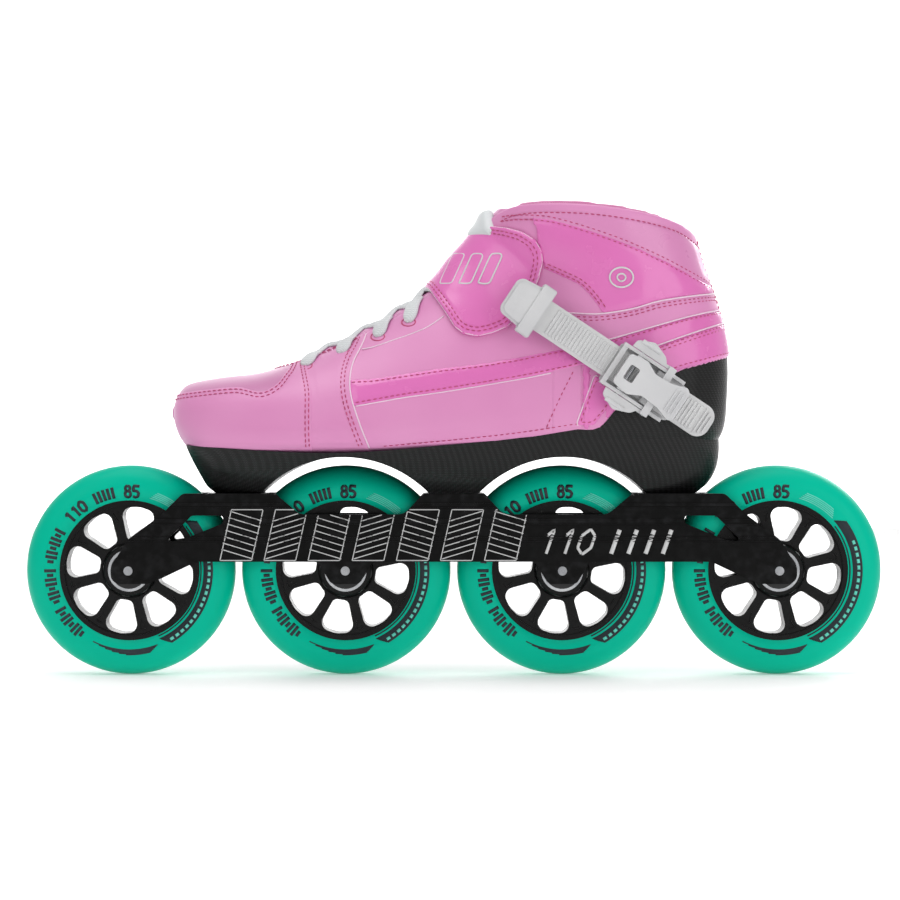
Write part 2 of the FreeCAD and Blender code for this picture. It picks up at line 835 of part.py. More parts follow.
def lace_rows():
    """Side-view places of the eyelet rows, from the toe end to the strap."""
    return [first_lace_row + lace_pitch * i for i in range(lace_row_count)]


def make_laces(outer):
    """Two flat laces, as plain cords, that zigzag between the eyelets and cross over the tongue."""
    skin = outer.Shells[0]
    rows = lace_rows()
    cords = []
    for start, extra in ((-1, 0.0), (1, 2 * lace_radius + 0.4)):
        path = []
        side = start
        for number, x in enumerate(rows):
            path.append(skin_point(skin, x, side * eyelet_place, lace_lift))
            if number < len(rows) - 1:
                crossing = lace_lift + extra + lace_crossing_rise
                path.append(skin_point(skin, x + lace_pitch / 2.0, 0.0, crossing))
            side = -side
        edges = cord_edges(path)
        wire = Part.Wire(edges)
        first = path[0]
        heading = path[1] - path[0]
        circle = Part.Wire([Part.makeCircle(lace_radius, first, heading)])
        cords.append(wire.makePipeShell([circle], True, True))
    return Part.makeCompound(cords)


def cord_edges(path):
    """Straight runs through the points of path, joined by tangent arcs."""
    edges = []
    at = path[0]
    for before, corner, after in zip(path, path[1:], path[2:]):
        back = before - corner
        forth = after - corner
        shorter = min(back.Length, forth.Length)
        inside = back.getAngle(forth)
        back.normalize()
        forth.normalize()
        reach = 0.45 * shorter
        radius = reach * math.tan(inside / 2.0)
        middle = back + forth
        middle.normalize()
        start = corner + back * reach
        end = corner + forth * reach
        mid = corner + middle * (radius / math.sin(inside / 2.0) - radius)
        edges.append(Part.LineSegment(at, start).toShape())
        edges.append(Part.Arc(start, mid, end).toShape())
        at = end
    edges.append(Part.LineSegment(at, path[-1]).toShape())
    return edges


# ---- ankle buckle ----
def buckle_placement():
    slope = math.radians(buckle_slope)
    u = V(math.cos(slope), 0, -math.sin(slope))
    v = V(math.sin(slope), 0, math.cos(slope))
    w = V(0, -1, 0)
    tilt = FreeCAD.Rotation(v, buckle_yaw)
    u = tilt.multVec(u)
    w = tilt.multVec(w)
    return FreeCAD.Placement(buckle_origin, FreeCAD.Rotation(u, v, w, "ZXY"))


def in_buckle(shape):
    copy = shape.copy()
    copy.Placement = buckle_placement().multiply(shape.Placement)
    return copy


def plate(corners, w0, w1):
    """Prism of a plan outline of (u, v) or (u, v, corner radius), from w0 to w1."""
    points = [(V(c[0], c[1], w0), c[2] if len(c) > 2 else 0.0) for c in corners]
    return Part.Face(rounded_wire(points)).extrude(V(0, 0, w1 - w0))


def both_sides(upper):
    """Closed plan outline from the corners on its +v side, mirrored for the -v side."""
    return upper + [(c[0], -c[1]) + tuple(c[2:]) for c in reversed(upper)]


def pin_v(u, w, radius, half):
    return Part.makeCylinder(radius, 2 * half, V(u, -half, w), V(0, 1, 0))


def block(u0, u1, v0, v1, w0, w1):
    return box(u0, u1, v0, v1, w0, w1)


def ladder_level():
    return buckle_floor + ladder_slot_gap


def make_ladder():
    low = ladder_level()
    strip = plate(
        [
            (ladder_start, -ladder_half_width), (ladder_start, ladder_half_width),
            (ladder_end, ladder_half_width, 6.5), (ladder_end, -ladder_half_width, 6.5),
        ],
        low,
        low + ladder_thickness,
    )
    teeth = []
    u = ladder_start + 18.0
    while u < ladder_end - 9.0:
        tip = V(u + tooth_pitch * 0.2, 0, tooth_height)
        profile = [V(u, 0, 0), V(u + tooth_pitch, 0, 0), tip, V(u, 0, 0)]
        tooth = Part.Face(Part.makePolygon(profile)).extrude(V(0, 2 * ladder_half_width - 4.0, 0))
        tooth.translate(V(0, -ladder_half_width + 2.0, low + ladder_thickness))
        teeth.append(tooth)
        u += tooth_pitch
    strip = strip.multiFuse(teeth)
    grips = []
    for i in range(3):
        at = ladder_end - 6.5 + 2.0 * i
        half = 7.4 - 1.4 * i
        grips.append(block(at, at + 0.9, -half, half, low + 0.5, low + ladder_thickness + 0.9))
    return strip.multiFuse(grips).removeSplitter()


def cap_corners():
    return both_sides([(-84.0, 10.2, 4.0), (-71.5, 11.6, 1.0), (-71.5, 14.2, 1.2), (-63.5, 14.2, 1.2)])


def cap_envelope():
    """Space kept clear for the end cap, all the way through the flap."""
    gap = cap_clearance
    grown = [(-84.0 - gap, 11.0 + gap, 3.5), (-74.0, 14.0 + gap, 3.0), (-60.0, 14.2 + gap, 2.0)]
    return plate(both_sides(grown), -20, 20)


def make_end_cap():
    """Moulded cap that clamps the flap at one end and the ladder strap at the other."""
    low = ladder_level() - 1.7
    high = low + cap_thickness
    cap = plate(cap_corners(), low, high - 1.6)
    raised = plate(both_sides([(-82.6, 8.8, 3.4), (-71.0, 10.2, 0.8)]), low + 1, high - 0.6)
    band = plate(both_sides([(-71.1, 13.6, 0.9), (-64.1, 13.6, 0.9)]), low + 1, high)
    cap = cap.multiFuse([raised, band]).removeSplitter()
    slot_low = ladder_level()
    slot_half = ladder_half_width + 0.05
    slot = block(ladder_start, -60, -slot_half, slot_half, slot_low, slot_low + ladder_thickness)
    mouth = block(-90, -77.5, -20, 20, low + 1.6, high - 3.2)
    cap = cap.cut(slot).cut(mouth)
    return cap.cut(cap_rivet_cylinders(ladder_level() - 2.7, cap_rivet_length + 1.1))


def cap_rivet_cylinders(start, length):
    places = [V(cap_rivet_u, side * cap_rivet_reach, start) for side in (-1, 1)]
    return Part.makeCompound([Part.makeCylinder(cap_rivet_radius, length, place) for place in places])


def make_cap_rivets():
    return cap_rivet_cylinders(ladder_level() - 1.6, cap_rivet_length)


def ladder_with_rivet_holes():
    return make_ladder().cut(cap_rivet_cylinders(ladder_level() - 2.0, 2 * cap_thickness))


def base_rivet_places():
    return ((-16.5, 0.0), (15.5, 0.0))


def make_buckle_base(boot_skin):
    """Channel with two cheeks that holds both pins, on a foot shaped to the boot."""
    outer = buckle_half_width
    inner = outer - buckle_cheek
    floor = plate(
        both_sides([
            (buckle_front, outer - 1.0, 2.0),
            (buckle_front + 6.0, outer, 2.0),
            (buckle_back, outer - 2.0, 3.0),
        ]),
        0,
        buckle_floor,
    )
    top = buckle_cheek_height
    low_end = top / 2.0
    cheek = [
        V(buckle_front + 1.0, 0, 0), V(buckle_front + 1.0, 0, top - 1.0), V(lever_pin_u - 4.0, 0, top + 0.3),
        V(lever_pin_u + 3.0, 0, top + 0.3), V(catch_pin_u + 1.4, 0, top),
        V(catch_pin_u + 4.5, 0, low_end), V(buckle_back - 3.0, 0, low_end - 1.0), V(buckle_back - 3.0, 0, 0),
    ]
    wall = Part.Face(Part.makePolygon(cheek + [cheek[0]])).extrude(V(0, buckle_cheek, 0))
    base = floor.fuse(moved(wall, 0, inner, 0)).fuse(moved(wall, 0, -outer, 0))
    base = base.fuse(block(buckle_front + 1.0, buckle_front + 3.6, -inner, inner, top - 2.4, top - 1.0))
    foot = in_buckle(plate(both_sides([(-18.0, 8.0, 3.0), (17.0, 8.0, 3.0)]), -16.0, 0))
    bores = [
        pin_v(lever_pin_u, lever_pin_w, buckle_pin_radius, 30),
        pin_v(catch_pin_u, catch_pin_w, buckle_pin_radius, 30),
    ]
    base = in_buckle(base.cut(Part.makeCompound(bores)))
    holes = in_buckle(base_rivet_cylinders(base_rivet_depth + buckle_floor + 1.0))
    return base.fuse(foot.cut(boot_skin)).removeSplitter().cut(holes)


def base_rivet_cylinders(length):
    rivets = []
    for u, v in base_rivet_places():
        rivets.append(Part.makeCylinder(base_rivet_radius, length, V(u, v, -base_rivet_depth)))
    return Part.makeCompound(rivets)


def make_buckle_rivets(boot_skin):
    """Rivets through the buckle's floor and foot, down to the boot's skin."""
    rivets = in_buckle(base_rivet_cylinders(base_rivet_depth + buckle_floor - 0.2))
    return rivets.cut(boot_skin)


def make_lever():
    """Ratchet lever: a barrel round its pin, a head, a waist and a fan-shaped finger end."""
    low = buckle_cheek_height + catch_bridge_gap + catch_bridge_thickness + lever_gap
    top = low + lever_thickness
    deck = plate(
        both_sides([
            (lever_pin_u - 5.6, lever_head_half_width, 2.0),
            (lever_pin_u + 4.0, lever_head_half_width + 1.4, 2.0),
            (lever_pin_u + 11.0, lever_waist_half_width, 6.0),
            (buckle_back - 9.0, lever_waist_half_width + 0.8, 6.0),
            (buckle_back - 1.5, lever_fan_half_width, 2.0),
            (buckle_back + 1.0, lever_fan_half_width - 2.0, 1.5),
        ]),
        low,
        top,
    )
    ear = buckle_half_width - buckle_cheek - catch_gap
    barrel = pin_v(lever_pin_u, lever_pin_w, barrel_radius, ear)
    web = block(lever_pin_u - barrel_radius, lever_pin_u + barrel_radius, -ear, ear, lever_pin_w, low + 0.2)
    web = web.cut(block(-40, 40, -lever_head_half_width + 2.0, lever_head_half_width - 2.0, 0, low))
    barrel = barrel.cut(block(-40, 40, -lever_head_half_width + 2.0, lever_head_half_width - 2.0, 0, low))
    lever = deck.fuse(barrel).fuse(web)
    ridges = []
    for i in range(3):
        at = buckle_back - 6.0 + 2.2 * i
        ridges.append(block(at, at + 0.8, -6.4, 6.4, top - 0.1, top + 0.5))
    lever = lever.multiFuse(ridges)
    window_corners = both_sides([(lever_pin_u - 2.4, 4.2, 1.2), (lever_pin_u + 3.2, 4.2, 1.2)])
    window = plate(window_corners, low - 1, top + 1)
    bore = pin_v(lever_pin_u, lever_pin_w, buckle_pin_radius + pin_play, 30)
    return in_buckle(lever.cut(window).cut(bore).removeSplitter())


def make_catch():
    """Release catch: a tooth bar between the cheeks and two curled finger tabs outside them."""
    outer = buckle_half_width + catch_gap
    ear = buckle_half_width - buckle_cheek - catch_gap
    ladder_top = ladder_level() + ladder_thickness + tooth_height
    bar = pin_v(catch_pin_u, catch_pin_w, barrel_radius, ear)
    pawl_profile = [
        V(catch_pin_u, 0, catch_pin_w - barrel_radius + 0.1), V(catch_pin_u - 5.0, 0, ladder_top + 0.3),
        V(catch_pin_u - 4.6, 0, ladder_top + 1.6), V(catch_pin_u, 0, catch_pin_w + barrel_radius - 0.1),
    ]
    pawl = Part.Face(Part.makePolygon(pawl_profile + [pawl_profile[0]])).extrude(V(0, 2 * ear - 1.0, 0))
    pawl.translate(V(0, -ear + 0.5, 0))
    bridge_low = buckle_cheek_height + catch_bridge_gap
    bridge_high = bridge_low + catch_bridge_thickness
    wide = outer + catch_arm_thickness
    bridge = block(catch_pin_u - 1.4, catch_pin_u + 2.6, -wide, wide, bridge_low, bridge_high)
    web = block(catch_pin_u - 1.2, catch_pin_u + 1.2, -ear, ear, catch_pin_w, bridge_high)
    catch = bar.fuse(pawl).fuse(web).fuse(bridge)
    room = spring_half_length() + spring_gap
    reach = spring_outer_radius() + spring_gap
    around = pin_v(catch_pin_u, catch_pin_w, reach, room)
    catch = catch.cut(around)
    for side in (-1, 1):
        inner_face = side * outer
        outer_face = side * (outer + catch_arm_thickness)
        v0, v1 = sorted((inner_face, outer_face))
        arm = block(-13.0, catch_pin_u + 2.6, v0, v1, catch_pin_w - 2.4, catch_pin_w + 1.4)
        arm = arm.fuse(block(catch_pin_u - 1.4, catch_pin_u + 2.6, v0, v1, catch_pin_w, bridge_high))
        catch = catch.fuse(arm)
        tab = plate(
            [
                (-16.5, side * outer),
                (-16.0, side * (tab_reach - 3.0), 2.5),
                (-7.5, side * (tab_reach + 0.8), 4.0),
                (1.0, side * (tab_reach - 2.5), 4.0),
                (4.5, side * outer),
            ],
            catch_pin_w - 0.2,
            catch_pin_w + 1.4,
        )
        curl = Part.makeCylinder(1.3, 11.0, V(-13.5, side * (tab_reach - 2.2), catch_pin_w + 1.0), V(1, 0, 0))
        catch = catch.fuse(arm).fuse(tab).fuse(curl)
    bore = pin_v(catch_pin_u, catch_pin_w, buckle_pin_radius + pin_play, 30)
    return in_buckle(catch.cut(bore).removeSplitter())


def spring_outer_radius():
    return buckle_pin_radius + pin_play + 2 * spring_wire_radius


def spring_half_length():
    return spring_turns * (2 * spring_wire_radius + 0.1) / 2.0


def make_catch_spring():
    """Torsion coil round the catch pin, between the two halves of the catch's barrel."""
    coil_radius = spring_outer_radius() - spring_wire_radius
    pitch = 2 * spring_wire_radius + 0.1
    helix = Part.Wire(Part.makeHelix(pitch, pitch * (spring_turns - 1), coil_radius).Edges)
    start = V(coil_radius, 0, 0)
    circle = Part.Wire([Part.makeCircle(spring_wire_radius, start, V(0, 1, 0))])
    coil = helix.makePipeShell([circle], True, True)
    coil.translate(V(0, 0, -pitch * (spring_turns - 1) / 2.0))
    coil.rotate(V(0, 0, 0), V(1, 0, 0), 90)
    return in_buckle(moved(coil, catch_pin_u, 0, catch_pin_w))


def save_buckle(outer):
    skin = boot_solid(gloss_gap * 2 + gloss_thickness)
    save("ladder_strap", in_buckle(ladder_with_rivet_holes()))
    save("strap_end_cap", in_buckle(make_end_cap()))
    save("cap_rivets", in_buckle(make_cap_rivets()))
    save("buckle_base", make_buckle_base(skin))
    save("buckle_rivets", make_buckle_rivets(skin))
    save("buckle_lever", make_lever())
    save("release_catch", make_catch())
    save("catch_spring", make_catch_spring())
    save("lever_pin", in_buckle(pin_v(lever_pin_u, lever_pin_w, buckle_pin_radius, buckle_half_width + 0.3)))
    pin_half = buckle_half_width + catch_gap + catch_arm_thickness + 0.3
    save("catch_pin", in_buckle(pin_v(catch_pin_u, catch_pin_w, buckle_pin_radius, pin_half)))


gloss_stripe = [(-53.5, 154.8), (9.0, 161.6), (55.0, 170.6), (65.5, 163.0), (24.0, 153.6), (-51.0, 141.0)]
ankle_gloss = [
    (46.0, 214.0, 4.0), (60.0, 210.0, 8.0), (73.0, 194.0, 8.0), (96.0, 191.5, 8.0), (139.0, 199.0),
    (129.0, 220.0), (126.0, 226.0), (102.0, 219.0, 8.0), (72.0, 232.0, 10.0), (46.0, 235.0, 10.0),
]


def main():
    save_wheels()
    save("frame", make_frame())
    bolts, washers, inserts = make_mounting()
    save("mounting_bolts", bolts)
    save("mounting_washers", washers)
    save("mounting_inserts", inserts)
    outer = boot_solid(0.0)
    save("carbon_base", make_base(outer))
    save("insole", make_insole())
    toe, forefoot, lateral, medial = make_upper(outer)
    save("toe_panel", toe)
    save("forefoot_panel", forefoot)
    save("lateral_quarter", lateral)
    save("medial_quarter", medial)
    save("collar_lining", make_lining())
    save("tongue", make_tongue())
    for name, outline in (("gloss_stripe", gloss_stripe), ("ankle_gloss", ankle_gloss)):
        near, beyond = make_gloss(outline)
        save("lateral_" + name, near)
        save("medial_" + name, beyond)
    save("ankle_strap", make_ankle_strap())
    save("laces", make_laces(outer))
    save_buckle(outer)


main()
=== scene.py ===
"""The looks of the inline skate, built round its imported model. Lengths are in metres unless a name says mm."""
import math

import bpy
import numpy as np
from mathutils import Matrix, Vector, noise
from mathutils.bvhtree import BVHTree


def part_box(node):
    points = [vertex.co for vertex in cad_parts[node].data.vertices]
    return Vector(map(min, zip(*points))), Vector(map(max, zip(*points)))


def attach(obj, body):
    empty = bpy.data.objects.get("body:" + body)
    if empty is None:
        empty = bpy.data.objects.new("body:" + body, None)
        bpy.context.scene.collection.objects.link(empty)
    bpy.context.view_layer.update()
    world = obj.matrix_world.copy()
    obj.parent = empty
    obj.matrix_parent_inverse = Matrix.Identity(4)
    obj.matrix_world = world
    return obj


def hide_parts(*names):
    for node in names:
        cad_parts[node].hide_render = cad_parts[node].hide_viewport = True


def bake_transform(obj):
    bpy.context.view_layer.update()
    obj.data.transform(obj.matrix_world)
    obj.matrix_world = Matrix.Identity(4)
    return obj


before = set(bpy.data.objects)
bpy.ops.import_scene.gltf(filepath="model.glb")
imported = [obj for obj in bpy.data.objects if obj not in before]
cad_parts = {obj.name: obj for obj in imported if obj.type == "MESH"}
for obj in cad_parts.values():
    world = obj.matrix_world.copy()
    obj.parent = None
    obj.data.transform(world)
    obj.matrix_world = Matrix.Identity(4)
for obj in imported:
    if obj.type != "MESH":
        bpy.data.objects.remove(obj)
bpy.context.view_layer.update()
MM = 0.001

# ---------------------------------------------------------------- the boot's form, as the model has it

# front or top x, z; rear or sole x, z; half width; centre y; taper; top power; bottom power
STATIONS = np.array([
    (-146.4, 141.0, -146.4, 134.0, 8.5, 5.5, 0.00, 2.2, 2.2),
    (-145.0, 146.2, -145.0, 129.0, 18.0, 5.2, 0.00, 2.2, 2.3),
    (-141.0, 151.4, -141.0, 121.5, 26.5, 4.6, 0.03, 2.3, 2.6),
    (-133.0, 154.0, -133.0, 116.2, 34.5, 3.6, 0.05, 2.3, 3.0),
    (-120.0, 156.0, -120.0, 114.4, 41.5, 2.6, 0.07, 2.4, 3.2),
    (-103.0, 158.0, -103.0, 114.4, 46.0, 1.6, 0.10, 2.3, 3.4),
    (-85.0, 163.6, -85.0, 114.4, 48.0, 1.0, 0.14, 2.1, 3.4),
    (-65.0, 171.8, -65.0, 114.4, 47.5, 0.0, 0.20, 2.0, 3.4),
    (-45.0, 181.8, -45.0, 114.4, 45.0, -1.5, 0.26, 2.0, 3.4),
    (-30.0, 190.5, -30.0, 114.4, 42.5, -2.5, 0.30, 2.0, 3.4),
    (-15.0, 201.0, -15.0, 114.4, 40.5, -3.0, 0.32, 2.0, 3.4),
    (-2.5, 215.3, 24.5, 114.4, 38.5, -2.0, 0.30, 2.0, 3.4),
    (6.2, 225.3, 70.2, 114.4, 37.3, -1.0, 0.24, 2.1, 3.2),
    (11.1, 231.0, 108.8, 114.4, 36.8, -0.5, 0.16, 2.2, 2.8),
    (14.6, 235.3, 139.0, 123.3, 36.6, 0.0, 0.06, 2.2, 2.4),
    (16.3, 238.8, 143.7, 142.5, 36.8, 0.0, 0.00, 2.2, 2.3),
    (18.0, 243.0, 143.8, 170.2, 37.2, 0.0, -0.02, 2.3, 2.2),
    (19.6, 248.0, 136.0, 201.0, 37.6, 0.0, -0.02, 2.3, 2.2),
    (21.0, 253.0, 127.7, 226.4, 37.6, 0.0, 0.00, 2.3, 2.2),
    (22.0, 258.6, 125.6, 250.0, 37.6, 0.0, 0.00, 2.3, 2.2),
])
GRID_STEP = 0.95  # mm between neighbouring points of the boot's surface
NOSE_RINGS = 7


def natural_spline(knots, rows, at):
    """The natural cubic spline through rows at knots, read at the places in at."""
    gaps = np.diff(knots)
    count = len(knots)
    matrix, right = np.eye(count), np.zeros_like(rows)
    for i in range(1, count - 1):
        matrix[i, i - 1:i + 2] = gaps[i - 1], 2 * (gaps[i - 1] + gaps[i]), gaps[i]
        right[i] = 6 * ((rows[i + 1] - rows[i]) / gaps[i] - (rows[i] - rows[i - 1]) / gaps[i - 1])
    bend = np.linalg.solve(matrix, right)
    i = np.clip(np.searchsorted(knots, at) - 1, 0, count - 2)
    step, gap = (at - knots[i])[:, None], gaps[i][:, None]
    slope = (rows[i + 1] - rows[i]) / gap - gap * (2 * bend[i] + bend[i + 1]) / 6
    return rows[i] + step * slope + bend[i] * step ** 2 / 2 + (bend[i + 1] - bend[i]) * step ** 3 / (6 * gap)


def slice_points(row, count):
    """Evenly spaced points round one slice of the boot, starting at its top, or at its front when it leans."""
    front, rear = row[0:2], row[2:4]
    half = np.hypot(*(front - rear)) / 2
    along = (front - rear) / (2 * half)
    angle = np.linspace(0, 2 * math.pi, 1441)
    cosine, sine = np.cos(angle), np.sin(angle)
    power = 2 / np.where(cosine > 0, row[7], row[8])
    up = np.sign(cosine) * np.abs(cosine) ** power
    out = np.sign(sine) * np.abs(sine) ** power
    middle = (front + rear) / 2
    points = np.stack([
        middle[0] + along[0] * up * half,
        row[5] + row[4] * out * (1 - row[6] * up),
        middle[1] + along[1] * up * half,
    ], 1)
    run = np.concatenate([[0], np.cumsum(np.linalg.norm(np.diff(points, axis=0), axis=1))])
    wanted = np.linspace(0, run[-1], count + 1)[:-1]
    return np.stack([np.interp(wanted, run, points[:, k]) for k in range(3)], 1)


def boot_grid():
    """The boot's outer surface as rows of points with their normals and each row's centre y, in mm."""
    top = np.hypot(*np.diff(STATIONS[:, 0:2], axis=0).T)
    sole = np.hypot(*np.diff(STATIONS[:, 2:4], axis=0).T)
    knots = np.concatenate([[0], np.cumsum(np.maximum((top + sole) / 2, 4.0))])
    places = np.linspace(0, knots[-1], int(knots[-1] / GRID_STEP))
    table = natural_spline(knots, STATIONS, places)
    columns = int(270 / GRID_STEP) // 2 * 2
    rings = [slice_points(row, columns) for row in table]
    first = rings[0]
    centre = first.mean(0)
    nose = []
    for k in range(1, NOSE_RINGS + 1):
        turn = math.pi / 2 * k / (NOSE_RINGS + 0.4)
        ring = centre + (first - centre) * math.cos(turn)
        ring[:, 0] = first[:, 0] - 1.2 * math.sin(turn)
        nose.append(ring)
    grid = np.array(nose[::-1] + rings)
    centres = np.concatenate([np.full(NOSE_RINGS, table[0, 5]), table[:, 5]])
    along = np.gradient(grid, axis=0)
    around = (np.roll(grid, -1, 1) - np.roll(grid, 1, 1)) / 2
    normals = np.cross(around, along)
    normals /= np.maximum(np.linalg.norm(normals, axis=2, keepdims=True), 1e-9)
    if (normals[:, 0, 2]).mean() < 0:
        normals = -normals
    return grid, normals, centres


GRID, NORMALS, CENTRES = boot_grid()
ROWS, COLUMNS = GRID.shape[:2]
X, Y, Z = GRID[:, :, 0], GRID[:, :, 1], GRID[:, :, 2]
ACROSS = Y - CENTRES[:, None]
COLUMN = np.broadcast_to(np.arange(COLUMNS), (ROWS, COLUMNS))
ON_TOP = np.minimum(COLUMN, COLUMNS - COLUMN) < COLUMNS * 0.27
LATERAL, MEDIAL = -1, 1


# ---------------------------------------------------------------- fields: how far inside an outline a point is

def smooth_line(points, steps=10, closed=False):
    """A curve through the points, as many short straight runs."""
    points = np.array(points, float)
    if closed:
        wide = np.vstack([points[-1], points, points[:2]])
    else:
        wide = np.vstack([2 * points[0] - points[1], points, 2 * points[-1] - points[-2]])
    run = []
    for a, b, c, d in zip(wide[:-3], wide[1:-2], wide[2:-1], wide[3:]):
        t = np.linspace(0, 1, steps, endpoint=False)[:, None]
        run.append(0.5 * (2 * b + (c - a) * t + (2 * a - 5 * b + 4 * c - d) * t ** 2
                          + (3 * b - a - 3 * c + d) * t ** 3))
    if not closed:
        run.append(points[-1:])
    return np.vstack(run)


def distance_to(line, x, z):
    """The distance from each point to the nearest run of the line."""
    best = np.full(x.shape, 1e9)
    for (ax, az), (bx, bz) in zip(line[:-1], line[1:]):
        dx, dz = bx - ax, bz - az
        share = np.clip(((x - ax) * dx + (z - az) * dz) / max(dx * dx + dz * dz, 1e-12), 0, 1)
        best = np.minimum(best, (x - ax - share * dx) ** 2 + (z - az - share * dz) ** 2)
    return np.sqrt(best)


def within(outline, x, z):
    """True for the points inside a closed outline."""
    inside = np.zeros(x.shape, bool)
    for (ax, az), (bx, bz) in zip(outline, np.roll(outline, -1, 0)):
        if az == bz:
            continue
        inside ^= ((az > z) != (bz > z)) & (x < (bx - ax) * (z - az) / (bz - az) + ax)
    return inside


def area_field(points, smooth=True):
    """Positive inside a closed side-view outline, by how many mm; negative outside."""
    outline = smooth_line(points, closed=True) if smooth else np.array(points, float)
    far = distance_to(np.vstack([outline, outline[:1]]), X, Z)
    return np.where(within(outline, X, Z), far, -far)


def edge_field(points, corners):
    """Positive on the side of an open curve where the corners are, by the distance to the curve alone."""
    line = smooth_line(points)
    far = distance_to(line, X, Z)
    return np.where(within(np.vstack([line, corners]), X, Z), far, -far)


def side_field(side):
    """Positive on one side of the boot, negative on the other."""
    return ACROSS * side


def all_of(*fields):
    return np.minimum.reduce(fields)


# ---------------------------------------------------------------- meshes from the fields

class Solid:
    """Points and faces gathered for one piece."""

    def __init__(self):
        self.points, self.faces, self.sharp = [], [], []

    def add(self, points, faces, sharp=()):
        start = len(self.points)
        self.points.extend(map(tuple, points))
        self.faces.extend(tuple(start + i for i in face) for face in faces)
        self.sharp.extend((start + a, start + b) for a, b in sharp)

    def piece(self, name, finish, body="skate", slot=None, replaces=(), ride=True):
        mesh = bpy.data.meshes.new(name)
        mesh.from_pydata(self.points, [], self.faces)
        mesh.polygons.foreach_set("use_smooth", [True] * len(mesh.polygons))
        if self.sharp:
            wanted = {tuple(sorted(edge)) for edge in self.sharp}
            pairs = np.zeros(len(mesh.edges) * 2, int)
            mesh.edges.foreach_get("vertices", pairs)
            flags = [tuple(sorted(pair)) in wanted for pair in pairs.reshape(-1, 2).tolist()]
            mesh.edges.foreach_set("use_edge_sharp", flags)
        mesh.validate()
        mesh.update()
        made = bpy.data.objects.new(name, mesh)
        bpy.context.scene.collection.objects.link(made)
        mesh.materials.append(finish)
        if ride:
            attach(made, body)
        if replaces:
            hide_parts(*replaces)
        return made


def cut_grid(field):
    """The part of the boot's surface where field is positive: points, normals, field values and faces."""
    flat_points, flat_normals = GRID.reshape(-1, 3), NORMALS.reshape(-1, 3)
    values = field.reshape(-1)
    row, column = np.meshgrid(np.arange(ROWS - 1), np.arange(COLUMNS), indexing="ij")
    after = (column + 1) % COLUMNS
    corners = np.stack([row * COLUMNS + column, row * COLUMNS + after,
                        (row + 1) * COLUMNS + after, (row + 1) * COLUMNS + column], -1).reshape(-1, 4)
    above = values[corners] > 0
    whole = corners[above.all(1)]
    mixed = corners[above.any(1) & ~above.all(1)]
    cuts, cut_points, cut_normals = {}, [], []
    partial = []
    for cell in mixed.tolist():
        ring = []
        for a, b in zip(cell, cell[1:] + cell[:1]):
            va, vb = values[a], values[b]
            if va > 0:
                ring.append(a)
            if (va > 0) != (vb > 0):
                key = (a, b) if a < b else (b, a)
                if key not in cuts:
                    share = values[key[0]] / (values[key[0]] - values[key[1]])
                    share = min(max(share, 0.02), 0.98)
                    cuts[key] = len(flat_points) + len(cut_points)
                    cut_points.append(flat_points[key[0]] * (1 - share) + flat_points[key[1]] * share)
                    cut_normals.append(flat_normals[key[0]] * (1 - share) + flat_normals[key[1]] * share)
                ring.append(cuts[key])
        if len(ring) > 2:
            partial.append(ring)
    faces = whole.tolist() + partial
    used = sorted({i for face in faces for i in face})
    place = {old: new for new, old in enumerate(used)}
    points = np.vstack([flat_points, np.array(cut_points).reshape(-1, 3)])[used]
    normals = np.vstack([flat_normals, np.array(cut_normals).reshape(-1, 3)])[used]
    distance = np.concatenate([values, np.zeros(len(cut_points))])[used]
    return points, normals, distance, [[place[i] for i in face] for face in faces]


def rounded(distance, radius):
    """0 at an edge, rising round a quarter circle to 1 at the radius."""
    share = np.clip(distance / radius, 0, 1)
    return np.sqrt(1 - (1 - share) ** 2)


def ripple(points, size, seed):
    """Soft unevenness, from -1 to 1, with bumps about size mm across."""
    shift = Vector((seed * 7.3, seed * 3.1, seed * 5.7))
    return np.array([noise.noise(Vector(p) / size + shift) for p in points])


def shell(name, field, low, high, finish, edge=1.1, grooves=(), swell=0.0, swell_width=12.0,
          uneven=0.0, uneven_size=22.0, both=False, seed=1.0, **rest):
    """A panel of the boot: the surface where field is positive, between two heights in mm, with rolled edges."""
    points, normals, distance, faces = cut_grid(field)
    middle, half = (low + high) / 2, (high - low) / 2
    roll = rounded(distance, edge)
    if both:
        top, bottom = middle + half * roll, middle - half * roll
    else:
        drop = min(high - low, edge)
        top, bottom = high - drop * 0.85 * (1 - roll), np.full(len(points), low)
    for inset, depth in grooves:
        top = top - depth * np.exp(-((distance - inset) / 0.75) ** 2)
    if swell:
        full = np.clip(distance / swell_width, 0, 1)
        top = top + swell * full * full * (3 - 2 * full)
    if uneven:
        top = top + uneven * ripple(points, uneven_size, seed) * np.clip(distance / 4, 0, 1)
    count = len(points)
    edges = {}
    for face in faces:
        for a, b in zip(face, face[1:] + face[:1]):
            edges[(a, b)] = edges.get((a, b), 0) + 1
    rim = [(a, b) for a, b in edges if (b, a) not in edges]
    outer = points + normals * top[:, None]
    inner = points + normals * bottom[:, None]
    made = Solid()
    all_faces = [face[::-1] for face in faces]
    all_faces += [[i + count for i in face] for face in faces]
    all_faces += [[b, a, a + count, b + count][::-1] for a, b in rim]
    sharp = [] if both else [(a + count, b + count) for a, b in rim]
    made.add(np.vstack([outer, inner]) * MM, all_faces, sharp)
    return made.piece(name, finish, **rest)


